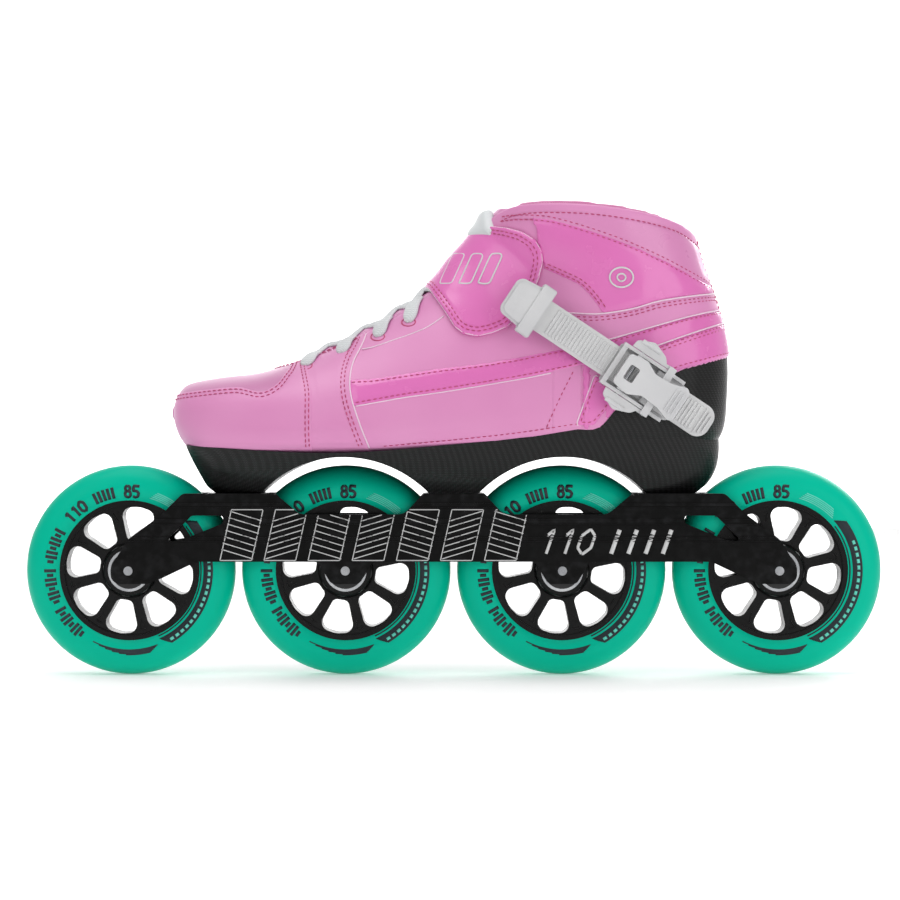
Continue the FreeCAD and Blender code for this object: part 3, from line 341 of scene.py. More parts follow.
def contours(field, level, keep=None):
    """The lines on the boot's surface where field is level, as lists of points and normals in mm."""
    values = (field - level).reshape(-1)
    flat_points, flat_normals = GRID.reshape(-1, 3), NORMALS.reshape(-1, 3)
    wanted = None if keep is None else keep.reshape(-1)
    row, column = np.meshgrid(np.arange(ROWS - 1), np.arange(COLUMNS), indexing="ij")
    after = (column + 1) % COLUMNS
    corners = np.stack([row * COLUMNS + column, row * COLUMNS + after,
                        (row + 1) * COLUMNS + after, (row + 1) * COLUMNS + column], -1).reshape(-1, 4)
    above = values[corners] > 0
    mixed = corners[above.any(1) & ~above.all(1)]
    found, links = {}, {}
    for cell in mixed.tolist():
        ends = []
        for a, b in zip(cell, cell[1:] + cell[:1]):
            if (values[a] > 0) != (values[b] > 0):
                key = (a, b) if a < b else (b, a)
                if key not in found:
                    a, b = key
                    share = values[a] / (values[a] - values[b])
                    normal = flat_normals[a] * (1 - share) + flat_normals[b] * share
                    kept = True if wanted is None else wanted[a] * (1 - share) + wanted[b] * share > 0
                    found[key] = (flat_points[a] * (1 - share) + flat_points[b] * share, normal, kept)
                ends.append(key)
        if len(ends) == 2 and found[ends[0]][2] and found[ends[1]][2]:
            links.setdefault(ends[0], []).append(ends[1])
            links.setdefault(ends[1], []).append(ends[0])
    lines, seen = [], set()
    starts = [key for key in links if len(links[key]) == 1] + list(links)
    for start in starts:
        if start in seen:
            continue
        chain, current = [start], start
        seen.add(start)
        while True:
            ahead = [key for key in links[current] if key not in seen]
            if not ahead:
                break
            current = ahead[0]
            seen.add(current)
            chain.append(current)
        if len(chain) > 4:
            points = np.array([found[key][0] for key in chain])
            normals = np.array([found[key][1] for key in chain])
            if start in links[current] and len(chain) > 8:
                points, normals = np.vstack([points, points[:1]]), np.vstack([normals, normals[:1]])
            lines.append(even_line(points, normals))
    return lines


def even_line(points, normals, step=0.9):
    """The same line with evenly spaced, slightly smoothed points."""
    run = np.concatenate([[0], np.cumsum(np.linalg.norm(np.diff(points, axis=0), axis=1))])
    count = max(int(run[-1] / step), 3)
    wanted = np.linspace(0, run[-1], count)
    points = np.stack([np.interp(wanted, run, points[:, k]) for k in range(3)], 1)
    normals = np.stack([np.interp(wanted, run, normals[:, k]) for k in range(3)], 1)
    for _ in range(3):
        points[1:-1] = (points[:-2] + 2 * points[1:-1] + points[2:]) / 4
    normals /= np.linalg.norm(normals, axis=1, keepdims=True)
    return points, normals


def sweep(solid, points, normals, profile, scales=None, closed=False):
    """Adds a profile of (across, up) carried along the points, in mm."""
    points, normals, profile = np.array(points, float), np.array(normals, float), np.array(profile, float)
    ahead = np.gradient(points, axis=0)
    if closed:
        ahead = np.roll(points, -1, 0) - np.roll(points, 1, 0)
    ahead /= np.maximum(np.linalg.norm(ahead, axis=1, keepdims=True), 1e-9)
    across = np.cross(ahead, normals)
    across /= np.maximum(np.linalg.norm(across, axis=1, keepdims=True), 1e-9)
    up = np.cross(across, ahead)
    if scales is None:
        scales = np.ones(len(points))
    rings = (points[:, None] + across[:, None] * (profile[None, :, :1] * scales[:, None, None])
             + up[:, None] * (profile[None, :, 1:] * scales[:, None, None]))
    count, around = len(points), len(profile)
    faces = []
    for i in range(count if closed else count - 1):
        j = (i + 1) % count
        for k in range(around):
            m = (k + 1) % around
            faces.append((i * around + k, i * around + m, j * around + m, j * around + k))
    if not closed:
        faces.append(tuple(range(around))[::-1])
        faces.append(tuple((count - 1) * around + k for k in range(around)))
    solid.add(rings.reshape(-1, 3) * MM, faces)


def ellipse(width, height, sides):
    turns = [2 * math.pi * k / sides for k in range(sides)]
    return [(width / 2 * math.cos(t), height / 2 * math.sin(t)) for t in turns]


STITCH_SHAPE = np.array([0.35, 0.85, 1.0, 0.85, 0.35])
STITCH_PROFILE = ellipse(0.62, 0.5, 6)
STITCH_LENGTH, STITCH_PITCH = 2.3, 3.0


def sew(solid, lines, height):
    """Adds a row of thread stitches along each line, at a height in mm above the boot's surface."""
    for points, normals in lines:
        run = np.concatenate([[0], np.cumsum(np.linalg.norm(np.diff(points, axis=0), axis=1))])
        for start in np.arange(0.4, run[-1] - STITCH_LENGTH, STITCH_PITCH):
            wanted = start + np.linspace(0, STITCH_LENGTH, 5)
            sink = np.array([-0.28, 0.02, 0.1, 0.02, -0.28])
            path = np.stack([np.interp(wanted, run, points[:, k]) for k in range(3)], 1)
            ups = np.stack([np.interp(wanted, run, normals[:, k]) for k in range(3)], 1)
            path = path + ups * (height + sink)[:, None]
            sweep(solid, path, ups, STITCH_PROFILE, STITCH_SHAPE)


def pipe(solid, lines, height, width=0.8, thickness=0.7):
    """Adds a thin cut edge or piping along each line."""
    for points, normals in lines:
        if len(points) > 3:
            sweep(solid, points + normals * height, normals, ellipse(width, thickness, 8))


# ---------------------------------------------------------------- finishes

def linear(red, green, blue):
    """A screen colour, 0 to 255, as the shader's linear colour."""
    parts = [c / 255 for c in (red, green, blue)]
    return tuple(c / 12.92 if c <= 0.04045 else ((c + 0.055) / 1.055) ** 2.4 for c in parts) + (1.0,)


class Finish:
    """A node material whose colour, roughness and bump vary over the surface."""

    def __init__(self, name, colour, roughness, metallic=0.0, coat=0.0, sheen=0.0, specular=0.5):
        self.material = bpy.data.materials.new(name)
        self.material.use_nodes = True
        self.tree = self.material.node_tree
        self.shader = self.tree.nodes["Principled BSDF"]
        self.colour, self.roughness = colour, roughness
        settings = {"Metallic": metallic, "Coat Weight": coat, "Sheen Weight": sheen,
                    "Specular IOR Level": specular, "Base Color": colour, "Roughness": roughness}
        for socket, value in settings.items():
            self.shader.inputs[socket].default_value = value
        self.place = self.node("ShaderNodeTexCoord").outputs["Object"]
        self.height = None

    def node(self, kind, **settings):
        made = self.tree.nodes.new(kind)
        for key, value in settings.items():
            if hasattr(made, key):
                setattr(made, key, value)
            else:
                made.inputs[key].default_value = value
        return made

    def link(self, source, target):
        self.tree.links.new(source, target)

    def math(self, operation, first, second=None, third=None):
        made = self.node("ShaderNodeMath", operation=operation)
        for i, value in enumerate(v for v in (first, second, third) if v is not None):
            if isinstance(value, (int, float)):
                made.inputs[i].default_value = value
            else:
                self.link(value, made.inputs[i])
        return made.outputs[0]

    def noise(self, scale, detail=2.0, rough=0.5, distortion=0.0):
        made = self.node("ShaderNodeTexNoise", Scale=scale, Detail=detail, Roughness=rough,
                         Distortion=distortion)
        self.link(self.place, made.inputs["Vector"])
        return made.outputs["Fac"]

    def cells(self, scale, feature="F1", randomness=1.0):
        made = self.node("ShaderNodeTexVoronoi", feature=feature, Scale=scale, Randomness=randomness)
        self.link(self.place, made.inputs["Vector"])
        return made.outputs["Distance"]

    def mix(self, factor, low, high):
        made = self.node("ShaderNodeMix", data_type="RGBA")
        self.link(factor, made.inputs["Factor"])
        for socket, value in (("A", low), ("B", high)):
            target = [s for s in made.inputs if s.name == socket and s.type == "RGBA"][0]
            if isinstance(value, tuple):
                target.default_value = value
            else:
                self.link(value, target)
        return [s for s in made.outputs if s.type == "RGBA"][0]

    def spread(self, value, low, high, to_low, to_high):
        made = self.node("ShaderNodeMapRange")
        self.link(value, made.inputs["Value"])
        for socket, number in (("From Min", low), ("From Max", high), ("To Min", to_low), ("To Max", to_high)):
            made.inputs[socket].default_value = number
        return made.outputs["Result"]

    def vary_colour(self, other, scale, low=0.35, high=0.65, detail=3.0):
        """Drifts between the finish's colour and another one."""
        factor = self.spread(self.noise(scale, detail), low, high, 0.0, 1.0)
        self.link(self.mix(factor, self.colour, other), self.shader.inputs["Base Color"])
        return self

    def vary_roughness(self, amount, scale):
        low, high = max(self.roughness - amount, 0.02), self.roughness + amount
        self.link(self.spread(self.noise(scale, 4.0), 0.3, 0.7, low, high), self.shader.inputs["Roughness"])
        return self

    def bump(self, height, distance, strength=1.0):
        """Adds one more layer of relief, distance metres deep."""
        made = self.node("ShaderNodeBump", Strength=strength, Distance=distance)
        self.link(height, made.inputs["Height"])
        if self.height is not None:
            self.link(self.height, made.inputs["Normal"])
        self.height = made.outputs["Normal"]
        self.link(self.height, self.shader.inputs["Normal"])
        return self


def leather(name, colour, other, roughness, grain, coat=0.0, creases=0.00025):
    """Coated synthetic leather: pebbled grain, soft creases and slight tonal drift."""
    made = Finish(name, colour, roughness, coat=coat, sheen=0.08)
    made.shader.inputs["Coat Roughness"].default_value = 0.12
    made.vary_colour(other, 30.0, 0.2, 0.8, 1.0)
    made.vary_roughness(0.05, 90.0)
    made.bump(made.noise(26.0, 2.0, 0.5, 0.4), creases, 0.6)
    made.bump(made.cells(1900.0), grain, 0.35)
    made.bump(made.noise(900.0, 3.0), grain, 0.3)
    return made.material


def woven(name, colour, other, roughness, scale, depth, sheen=0.4):
    """Knitted or woven cloth with crossing threads."""
    made = Finish(name, colour, roughness, sheen=sheen)
    split = made.node("ShaderNodeSeparateXYZ")
    made.link(made.place, split.inputs[0])
    x, y, z = split.outputs
    slant = made.math("ADD", x, y)
    warp = made.math("ABSOLUTE", made.math("SINE", made.math("MULTIPLY", slant, scale * math.pi)))
    weft = made.math("ABSOLUTE", made.math("SINE", made.math("MULTIPLY", z, scale * math.pi)))
    weave = made.math("MULTIPLY", warp, weft)
    made.link(made.mix(made.math("ADD", made.math("MULTIPLY", weave, 0.6), made.math(
        "MULTIPLY", made.noise(60.0), 0.4)), other, colour), made.shader.inputs["Base Color"])
    made.vary_roughness(0.06, 200.0)
    made.bump(weave, depth, 0.8)
    made.bump(made.noise(2500.0, 2.0), depth * 0.4, 0.5)
    return made.material


def plastic(name, colour, other, roughness, grain=0.00002, coat=0.0, scale=30.0, specular=0.5):
    """Moulded plastic or urethane: faint flow marks, fine mould texture."""
    made = Finish(name, colour, roughness, coat=coat, specular=specular)
    made.vary_colour(other, scale)
    made.vary_roughness(0.06, 160.0)
    made.bump(made.noise(700.0, 3.0), grain, 0.4)
    made.bump(made.noise(45.0, 2.0), grain * 4, 0.3)
    return made.material


def metal(name, colour, other, roughness, brushed=0.0):
    """Metal with fine scratches and faint tone."""
    made = Finish(name, colour, roughness, metallic=1.0)
    made.vary_colour(other, 120.0)
    made.vary_roughness(0.08, 300.0)
    made.bump(made.noise(1500.0, 2.0, 0.6, brushed), 0.000008, 0.4)
    return made.material


def anodised():
    """Black anodised aluminium with worn, brighter edges and long faint scratches."""
    made = Finish("anodised_black", linear(8, 8, 8), 0.32, specular=0.11)
    edge = made.node("ShaderNodeNewGeometry").outputs["Pointiness"]
    wear = made.math("MULTIPLY", made.spread(edge, 0.56, 0.64, 0.0, 1.0), made.spread(
        made.noise(220.0, 5.0), 0.42, 0.7, 0.0, 0.5))
    tone = made.mix(made.spread(made.noise(9.0, 0.0), 0.2, 0.8, 0.0, 1.0), linear(7, 7, 7), linear(9, 9, 9))
    made.link(made.mix(wear, tone, linear(48, 48, 50)), made.shader.inputs["Base Color"])
    made.vary_roughness(0.02, 420.0)
    stretch = made.node("ShaderNodeMapping")
    made.link(made.place, stretch.inputs["Vector"])
    stretch.inputs["Scale"].default_value = (0.06, 1.0, 1.0)
    scratches = made.node("ShaderNodeTexNoise", Scale=2600.0, Detail=2.0)
    made.link(stretch.outputs[0], scratches.inputs["Vector"])
    made.bump(scratches.outputs["Fac"], 0.00001, 0.35)
    made.bump(made.noise(3200.0, 1.0), 0.000006, 0.3)
    return made.material


def carbon_weave():
    """Twill carbon cloth under clear resin: two thread directions with their own sheen, from their roughness and
    also painted into the colour as painted highlights and painted shade.
    """
    tow = 0.0009
    made = Finish("carbon_twill", linear(14, 14, 15), 0.4, coat=0.15, specular=0.2)
    made.shader.inputs["Coat Roughness"].default_value = 0.15
    split = made.node("ShaderNodeSeparateXYZ")
    made.link(made.place, split.inputs[0])
    x, y, z = split.outputs
    facing = made.node("ShaderNodeSeparateXYZ")
    made.link(made.node("ShaderNodeNewGeometry").outputs["Normal"], facing.inputs[0])
    under = made.math("GREATER_THAN", made.math("ABSOLUTE", facing.outputs[2]), 0.72)
    wrap = made.math("ADD", x, y)
    u = made.math("DIVIDE", made.math("ADD", made.math("MULTIPLY", x, under), made.math(
        "MULTIPLY", wrap, made.math("SUBTRACT", 1.0, under))), tow)
    v = made.math("DIVIDE", made.math("ADD", made.math("MULTIPLY", y, under), made.math(
        "MULTIPLY", z, made.math("SUBTRACT", 1.0, under))), tow)
    step = made.math("FLOORED_MODULO", made.math("ADD", made.math("FLOOR", u), made.math("FLOOR", v)), 4.0)
    warp = made.math("LESS_THAN", step, 1.5)
    crown_u = made.math("ABSOLUTE", made.math("SINE", made.math("MULTIPLY", u, math.pi)))
    crown_v = made.math("ABSOLUTE", made.math("SINE", made.math("MULTIPLY", v, math.pi)))
    # the crown is the tows' relief for the bump; in the colour it is also a painted highlight on each tow's crown,
    # with painted shade at its edges
    crown_relief_and_highlight = made.math("MULTIPLY", crown_u, crown_v)
    # painted sheen: the warp tows are painted lighter than the weft tows, as if the light catches them
    tone = made.mix(warp, linear(12, 12, 12), linear(34, 34, 35))
    made.link(made.mix(crown_relief_and_highlight, linear(5, 5, 5), tone), made.shader.inputs["Base Color"])
    made.link(made.spread(warp, 0.0, 1.0, 0.42, 0.28), made.shader.inputs["Roughness"])
    made.bump(crown_relief_and_highlight, 0.00012, 0.7)
    made.bump(made.noise(60.0, 2.0), 0.0001, 0.3)
    return made.material


def tyre_urethane():
    made = Finish("urethane_teal", linear(0, 190, 158), 0.36, specular=0.08)
    made.shader.inputs["Subsurface Weight"].default_value = 0.05
    made.shader.inputs["Subsurface Radius"].default_value = (0.003, 0.008, 0.006)
    made.vary_colour(linear(0, 184, 152), 12.0, 0.2, 0.8, 0.0)
    made.vary_roughness(0.07, 120.0)
    made.bump(made.noise(1100.0, 3.0), 0.00002, 0.35)
    made.bump(made.noise(70.0, 2.0), 0.00006, 0.25)
    return made.material


def thread(name, colour, other):
    made = Finish(name, colour, 0.55, sheen=0.3)
    made.vary_colour(other, 700.0)
    twist = made.node("ShaderNodeTexWave", Scale=420.0, Distortion=1.0)
    made.link(made.place, twist.inputs["Vector"])
    made.bump(twist.outputs["Fac"], 0.00006, 0.6)
    return made.material


PINK = linear(222, 145, 193)
FINISHES = {
    "upper": leather("upper_pink", PINK, linear(217, 136, 187), 0.42, 0.00003),
    "toe": leather("toe_pink", linear(208, 134, 180), linear(200, 124, 172), 0.34, 0.00003, coat=0.1),
    "gloss": leather("gloss_pink", linear(226, 116, 188), linear(221, 111, 182), 0.24, 0.00001, coat=0.4,
                     creases=0.0003),
    "satin": leather("satin_pink", linear(219, 141, 190), linear(214, 134, 184), 0.3, 0.00002, coat=0.2),
    "lining": woven("lining_mesh", linear(226, 150, 190), linear(196, 104, 156), 0.75, 1100.0, 0.00012),
    "insole": woven("insole_cloth", linear(70, 66, 72), linear(40, 38, 42), 0.8, 900.0, 0.0001),
    "lace": woven("lace_braid", linear(228, 230, 231), linear(192, 196, 198), 0.7, 1000.0, 0.00018),
    "white_leather": leather("tongue_white", linear(216, 220, 221), linear(206, 211, 212), 0.4, 0.00003),
    "piping": plastic("edge_white", linear(238, 212, 228), linear(228, 198, 216), 0.45),
    "thread": thread("thread_rose", linear(198, 62, 120), linear(176, 46, 102)),
    "plastic": plastic("plastic_white", linear(208, 208, 209), linear(200, 200, 202), 0.34, 0.00002, 0.1),
    "strap": plastic("strap_white", linear(208, 208, 208), linear(198, 198, 199), 0.42, 0.00004),
    "hub": plastic("hub_black", linear(9, 9, 9), linear(12, 12, 12), 0.28, 0.00002, specular=0.2),
    "shield": plastic("bearing_shield", linear(34, 34, 36), linear(24, 24, 26), 0.4),
    "cage": plastic("cage_nylon", linear(190, 184, 168), linear(176, 170, 154), 0.5),
    "steel": metal("bearing_steel", linear(196, 198, 200), linear(170, 172, 176), 0.22),
    "bolt": metal("axle_steel", linear(188, 190, 193), linear(150, 152, 156), 0.3),
    "insert": metal("brass_insert", linear(190, 160, 96), linear(168, 140, 84), 0.35),
    "print": plastic("print_white", linear(214, 214, 214), linear(202, 202, 202), 0.5),
    "tyre_print": plastic("print_dark", linear(13, 30, 38), linear(20, 36, 44), 0.45),
    "tyre_haze": plastic("print_pale", linear(104, 214, 194), linear(86, 204, 182), 0.4),
    "anodised": anodised(),
    "carbon": carbon_weave(),
    "tyre": tyre_urethane(),
}

NODE_FINISH = {
    "tyre": "tyre", "hub": "hub", "bearing_outer_rings": "steel", "bearing_shields": "shield",
    "bearing_balls": "steel", "bearing_cages": "cage", "axle": "bolt", "bearing_inner_rings": "steel",
    "axle_spacers": "bolt", "frame": "anodised", "mounting_bolts": "bolt", "mounting_washers": "bolt",
    "mounting_inserts": "insert", "carbon_base": "carbon", "insole": "insole", "ladder_strap": "strap",
    "strap_end_cap": "plastic", "cap_rivets": "bolt", "buckle_base": "plastic", "buckle_rivets": "bolt",
    "buckle_lever": "plastic", "release_catch": "plastic", "catch_spring": "steel", "lever_pin": "steel",
    "catch_pin": "steel",
}


def finish_nodes():
    """Gives every shown CAD node its own finish."""
    for name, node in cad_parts.items():
        base = name[:-2] if name[-2:] in ("_1", "_2", "_3", "_4") else name
        finish = FINISHES[NODE_FINISH.get(base, "upper")]
        node.data.materials.clear()
        node.data.materials.append(finish)


# ---------------------------------------------------------------- the upper

UPPER_WALL = 3.6
LOWER_LAP = 0.8  # how far the leather laps over the carbon
THROAT_HALF, THROAT_FRONT = 11.5, -90.0
ABOVE, BELOW, AHEAD, BEHIND = 330.0, 60.0, -220.0, 220.0

RIM_LINE = [(10, 228), (19, 239), (31, 244.4), (50, 245.4), (75, 244), (100, 240.2), (118, 235.4), (132, 228),
            (150, 220)]
BASE_LINE = [(-160, 123), (-150, 121.5), (-136, 120.4), (-103, 118.2), (-60, 116.8), (-28, 118.6), (13, 122.4),
             (40, 125.6), (62, 129), (74, 129.6), (83, 139), (96, 149.5), (114, 158.4), (128, 162.6), (160, 171)]
TOE_SEAM = [(-160, 146), (-140, 148), (-120, 150), (-111, 150.4), (-105, 149.2), (-100, 148.2), (-95.5, 149.2),
            (-91, 152.3), (-88, 156.8), (-85, 162.5), (-82, 180)]
FRONT_SEAM = [(-80, 176), (-76, 162), (-73.6, 153), (-72.6, 147), (-72.5, 138), (-72.4, 125), (-72, 108)]
MIDDLE_SEAM = [(-42, 190), (-45.6, 177), (-48, 170.5), (-51, 164.4), (-52.6, 158), (-52.9, 151), (-51.8, 144),
               (-49.6, 137), (-46.4, 128.2), (-42.7, 118.9), (-40, 108)]
EYESTAY_LINE = [(-52, 169), (-48, 169.9), (-41.8, 171.1), (-32, 174.4), (-22.2, 177.8), (-13, 181.8), (-4, 188)]

rim_field = edge_field(RIM_LINE, [(BEHIND, 220), (BEHIND, BELOW), (AHEAD, BELOW), (AHEAD, 200), (-10, 231)])
base_field = edge_field(BASE_LINE, [(BEHIND, 171), (BEHIND, ABOVE), (AHEAD, ABOVE), (AHEAD, 123)])
toe_field = edge_field(TOE_SEAM, [(-82, ABOVE), (BEHIND, ABOVE), (BEHIND, BELOW), (AHEAD, BELOW), (AHEAD, 146)])
front_field = edge_field(FRONT_SEAM, [(-72, BELOW), (AHEAD, BELOW), (AHEAD, 176)])
middle_field = edge_field(MIDDLE_SEAM, [(-40, BELOW), (AHEAD, BELOW), (AHEAD, 190)])
eyestay_field = edge_field(EYESTAY_LINE, [(20, 215), (-10, 240), (-70, 215), (-70, 169)])


def throat_field():
    """Positive away from the slot that the tongue fills."""
    past = X - (THROAT_FRONT + THROAT_HALF)
    slot = np.where(past > 0, np.abs(ACROSS), np.hypot(past, ACROSS)) - THROAT_HALF
    return np.where(ON_TOP, slot, np.abs(slot) + 8)


slot_field = throat_field()
upper_field = all_of(rim_field, base_field + LOWER_LAP, slot_field)
FAR = 60.0
threads = Solid()
edges = Solid()


def sew_along(field, insets, height, keep=None):
    for inset in insets:
        sew(threads, contours(field, inset, keep), height)


def make_upper():
    """The leather panels that the boot is sewn from, each a solid with rolled edges."""
    quarter = all_of(upper_field, -(middle_field - 3.0))
    for side, word in ((LATERAL, "lateral"), (MEDIAL, "medial")):
        part = all_of(quarter, side_field(side))
        shell(f"{word}_quarter_leather", part, -UPPER_WALL, 0.25, FINISHES["upper"], uneven=0.35,
              slot="upper_pink", replaces=[f"{word}_quarter"], seed=2.0 + side)
    panel = all_of(upper_field, middle_field, -(front_field - 3.0))
    shell("forefoot_leather", panel, -UPPER_WALL, 0.55, FINISHES["upper"], grooves=[(3.1, 0.2), (4.9, 0.2)],
          uneven=0.3, slot="upper_pink", replaces=["forefoot_panel"], seed=4.0)
    top = all_of(upper_field, -(toe_field - 3.0), front_field + 2.0)
    shell("vamp_leather", top, -UPPER_WALL, 0.35, FINISHES["toe"], uneven=0.3, slot="upper_pink", seed=5.0)
    wrap = all_of(upper_field, toe_field, front_field)
    shell("toe_leather", wrap, -UPPER_WALL, 0.95, FINISHES["upper"], grooves=[(1.5, 0.2), (3.2, 0.2)],
          uneven=0.3, slot="upper_pink", replaces=["toe_panel"], seed=6.0)
    lower = all_of(base_field - 2.0, rim_field)
    sew_along(toe_field, (1.5, 3.2), 0.98, all_of(front_field - 4, slot_field - 2))
    sew_along(front_field, (1.5, 3.3), 0.98, all_of(toe_field, lower, slot_field - 2))
    sew_along(middle_field, (3.1, 4.9), 0.58, all_of(lower, slot_field - 2, 9 + 0 * X))
    pipe(edges, contours(middle_field, 0.3, all_of(lower, slot_field - 3)), 0.4)
    bottom_seam = all_of(-(middle_field + 6), FAR + 0 * X)
    sew_along(base_field, (2.6,), 0.38, all_of(bottom_seam, -(X - 66)))
    sew_along(slot_field, (2.4, 4.2), 0.7, all_of(ON_TOP * 10.0 - 5, middle_field - 2))


def make_overlays():
    """The glossy stripes, ankle panels and heel bands, each laid on the quarter."""
    double_line = edge_field([(16, 236), (28, 238.5), (45.6, 237.8), (58, 234.9), (68.5, 231.7), (82.2, 227),
                              (92.7, 222.9), (108.8, 215.8), (131.3, 205), (155, 196)],
                             [(BEHIND, BELOW), (AHEAD, BELOW), (-10, 228)])
    ankle_front = edge_field([(34, 252), (34, 236), (37, 222), (42, 213.8), (48, 211), (56.1, 207.2), (64.4, 203),
                              (70.7, 196.6), (76, 188.6), (80, 176)], [(BEHIND, 176), (BEHIND, 252)])
    ankle_low = edge_field([(52, 188), (60.2, 188.6), (72.8, 188.2), (83.3, 189.3), (93.8, 191.4), (104.4, 194.6),
                            (117.3, 196.9), (136.4, 199.6), (160, 203)], [(BEHIND, ABOVE), (20, ABOVE)])
    heel_high = edge_field([(66, 171), (80.1, 175.1), (92.7, 178.8), (108.7, 183.6), (122.8, 187.5), (139.4, 191.2),
                            (160, 195)], [(BEHIND, BELOW), (66, BELOW)])
    heel_low = edge_field([(70, 160), (88, 166.5), (104.4, 172), (119.4, 177.4), (139.8, 184), (160, 189)],
                          [(BEHIND, BELOW), (70, BELOW)])
    stripe = area_field([(-66, 153.6), (-42, 154.9), (-27.7, 157), (-7.2, 160.2), (13.3, 162.6), (32.9, 165.8),
                         (45, 168.4), (58, 171), (68.5, 162), (55.9, 159), (38.9, 155.4), (13.3, 150.9),
                         (-7.2, 147.6), (-25, 145.1), (-37.8, 142.8), (-51, 140.4), (-66, 137.6)], smooth=False)
    small = area_field([(72.5, 157.6), (67, 143), (62.5, 131), (72, 131), (78, 138), (84, 147)], smooth=False)
    for side, word in ((LATERAL, "lateral"), (MEDIAL, "medial")):
        on_side = side_field(side)
        shell(f"{word}_stripe", all_of(stripe, on_side, base_field, 0.6 - middle_field), -0.6, 0.85, FINISHES["gloss"], edge=1.3,
              grooves=[(1.7, 0.35)], swell=0.25, swell_width=5.0, uneven=0.35, uneven_size=14.0,
              slot="gloss_pink", replaces=[f"{word}_gloss_stripe"], seed=7.0)
        sew_along(stripe, (1.7,), 0.75, all_of(on_side - 1, -middle_field))
        pipe(edges, contours(stripe, 0.0, all_of(on_side - 1, -middle_field, 157 + X * 0.14 - Z, 50 - X)), 0.3, 0.6, 0.5)
        panel = all_of(double_line, ankle_front, ankle_low, rim_field, on_side)
        shell(f"{word}_ankle_panel", panel, -0.6, 0.85, FINISHES["gloss"], edge=1.2, grooves=[(1.8, 0.3)],
              swell=0.3, uneven=0.4, uneven_size=16.0, slot="gloss_pink",
              replaces=[f"{word}_ankle_gloss"], seed=8.0)
        piece = all_of(small, on_side, base_field)
        shell(f"{word}_heel_corner", piece, -0.6, 0.7, FINISHES["gloss"], edge=1.0, uneven=0.3,
              uneven_size=12.0, slot="gloss_pink", seed=9.0)
    wide = FAR + 0 * X
    collar_band = all_of(-(double_line - 1.2), rim_field - 4.4, X - 22)
    shell("collar_band", collar_band, -0.6, 0.45, FINISHES["satin"], edge=1.0, swell=0.3, swell_width=4.0,
          uneven=0.2, uneven_size=15.0, slot="gloss_pink")
    sew_along(rim_field, (4.9,), 0.5, X - 24)
    sew_along(double_line, (-1.1, 1.3), 0.62, all_of(X - 24, rim_field - 2))
    sew_along(ankle_front, (1.3, 3.0), 0.95, all_of(double_line - 2, ankle_low - 2, rim_field))
    light_band = all_of(-(ankle_low - 1.0), -(heel_high - 1.0), X - 50, base_field)
    shell("heel_band_upper", light_band, -0.6, 0.5, FINISHES["upper"], edge=1.0, uneven=0.25,
          slot="upper_pink")
    bright_band = all_of(heel_high, -(heel_low - 1.0), X - 64, base_field)
    shell("heel_band_middle", bright_band, -0.6, 0.75, FINISHES["gloss"], edge=1.1, uneven=0.35,
          uneven_size=14.0, slot="gloss_pink")
    low_band = all_of(heel_low, X - 78, base_field)
    shell("heel_band_lower", low_band, -0.6, 0.95, FINISHES["gloss"], edge=1.1, uneven=0.35,
          uneven_size=14.0, slot="gloss_pink")
    pipe(edges, contours(ankle_low, 0.0, all_of(X - 57, wide)), 0.75)
    sew_along(ankle_low, (-1.6, -3.2), 0.5, X - 58)
    pipe(edges, contours(heel_high, 0.0, all_of(X - 76, wide)), 0.7)
    sew_along(heel_high, (1.5,), 0.72, X - 78)
    pipe(edges, contours(heel_low, 0.0, all_of(X - 96, base_field)), 0.85)
    sew_along(heel_low, (1.5, 3.1), 0.95, all_of(X - 98, base_field - 2))
    sew_along(base_field, (2.2,), 0.95, all_of(X - 88, heel_low - 3))
    front_half = all_of(62.0 + (Z - 131) * 0.37 + 3.0 - X, base_field - 1)
    pipe(edges, contours(small, 0.0, front_half), 0.5, 0.7, 0.6)
    sew_along(small, (1.6,), 0.72, base_field)
    thin = edge_field([(62, 160), (54.1, 144.5), (46.9, 128.4), (43, 116)], [(AHEAD, 116), (AHEAD, 160)])
    sew_along(thin, (0.0,), 0.38, all_of(base_field - 2, -stripe, X - 43, 64 - X))
    pipe(edges, contours(eyestay_field, 0.0, all_of(X + 50, -(middle_field + 0.5), -(X + 5))), 0.4, 0.7, 0.6)
    back_seam = all_of(base_field, rim_field, X - 110)
    sew(threads, contours(all_of(np.abs(ACROSS), 90 + 0 * X), 2.0, all_of(back_seam, 190 - Z + 40)), 0.9)


def swollen(pad, voxel, pressure, cap, frames=20):
    """Fills a pad with cloth under pressure, keeps each point within cap metres of where it was, and applies it."""
    start = pad.data.copy()
    remesh = pad.modifiers.new("remesh", "REMESH")
    remesh.mode, remesh.voxel_size = "VOXEL", voxel
    apply_modifiers(pad)
    before = np.array([v.co[:] for v in pad.data.vertices])
    cloth = pad.modifiers.new("cloth", "CLOTH")
    cloth.settings.quality = 4
    cloth.settings.use_pressure = True
    cloth.settings.uniform_pressure_force = pressure
    cloth.settings.effector_weights.gravity = 0
    cloth.settings.tension_stiffness, cloth.settings.bending_stiffness = 15, 2
    scene = bpy.context.scene
    for number in range(1, frames + 1):
        scene.frame_set(number)
    apply_modifiers(pad)
    scene.frame_set(1)
    after = np.array([v.co[:] for v in pad.data.vertices])
    if len(after) != len(before) or not np.isfinite(after).all():
        pad.data = start
        return
    shift = after - before
    far = np.linalg.norm(shift, axis=1, keepdims=True)
    kept = before + shift * np.minimum(1, cap / np.maximum(far, 1e-9))
    pad.data.vertices.foreach_set("co", kept.reshape(-1))
    pad.data.polygons.foreach_set("use_smooth", [True] * len(pad.data.polygons))
    finer = pad.modifiers.new("finer", "SUBSURF")
    finer.levels = finer.render_levels = 1
    apply_modifiers(pad)


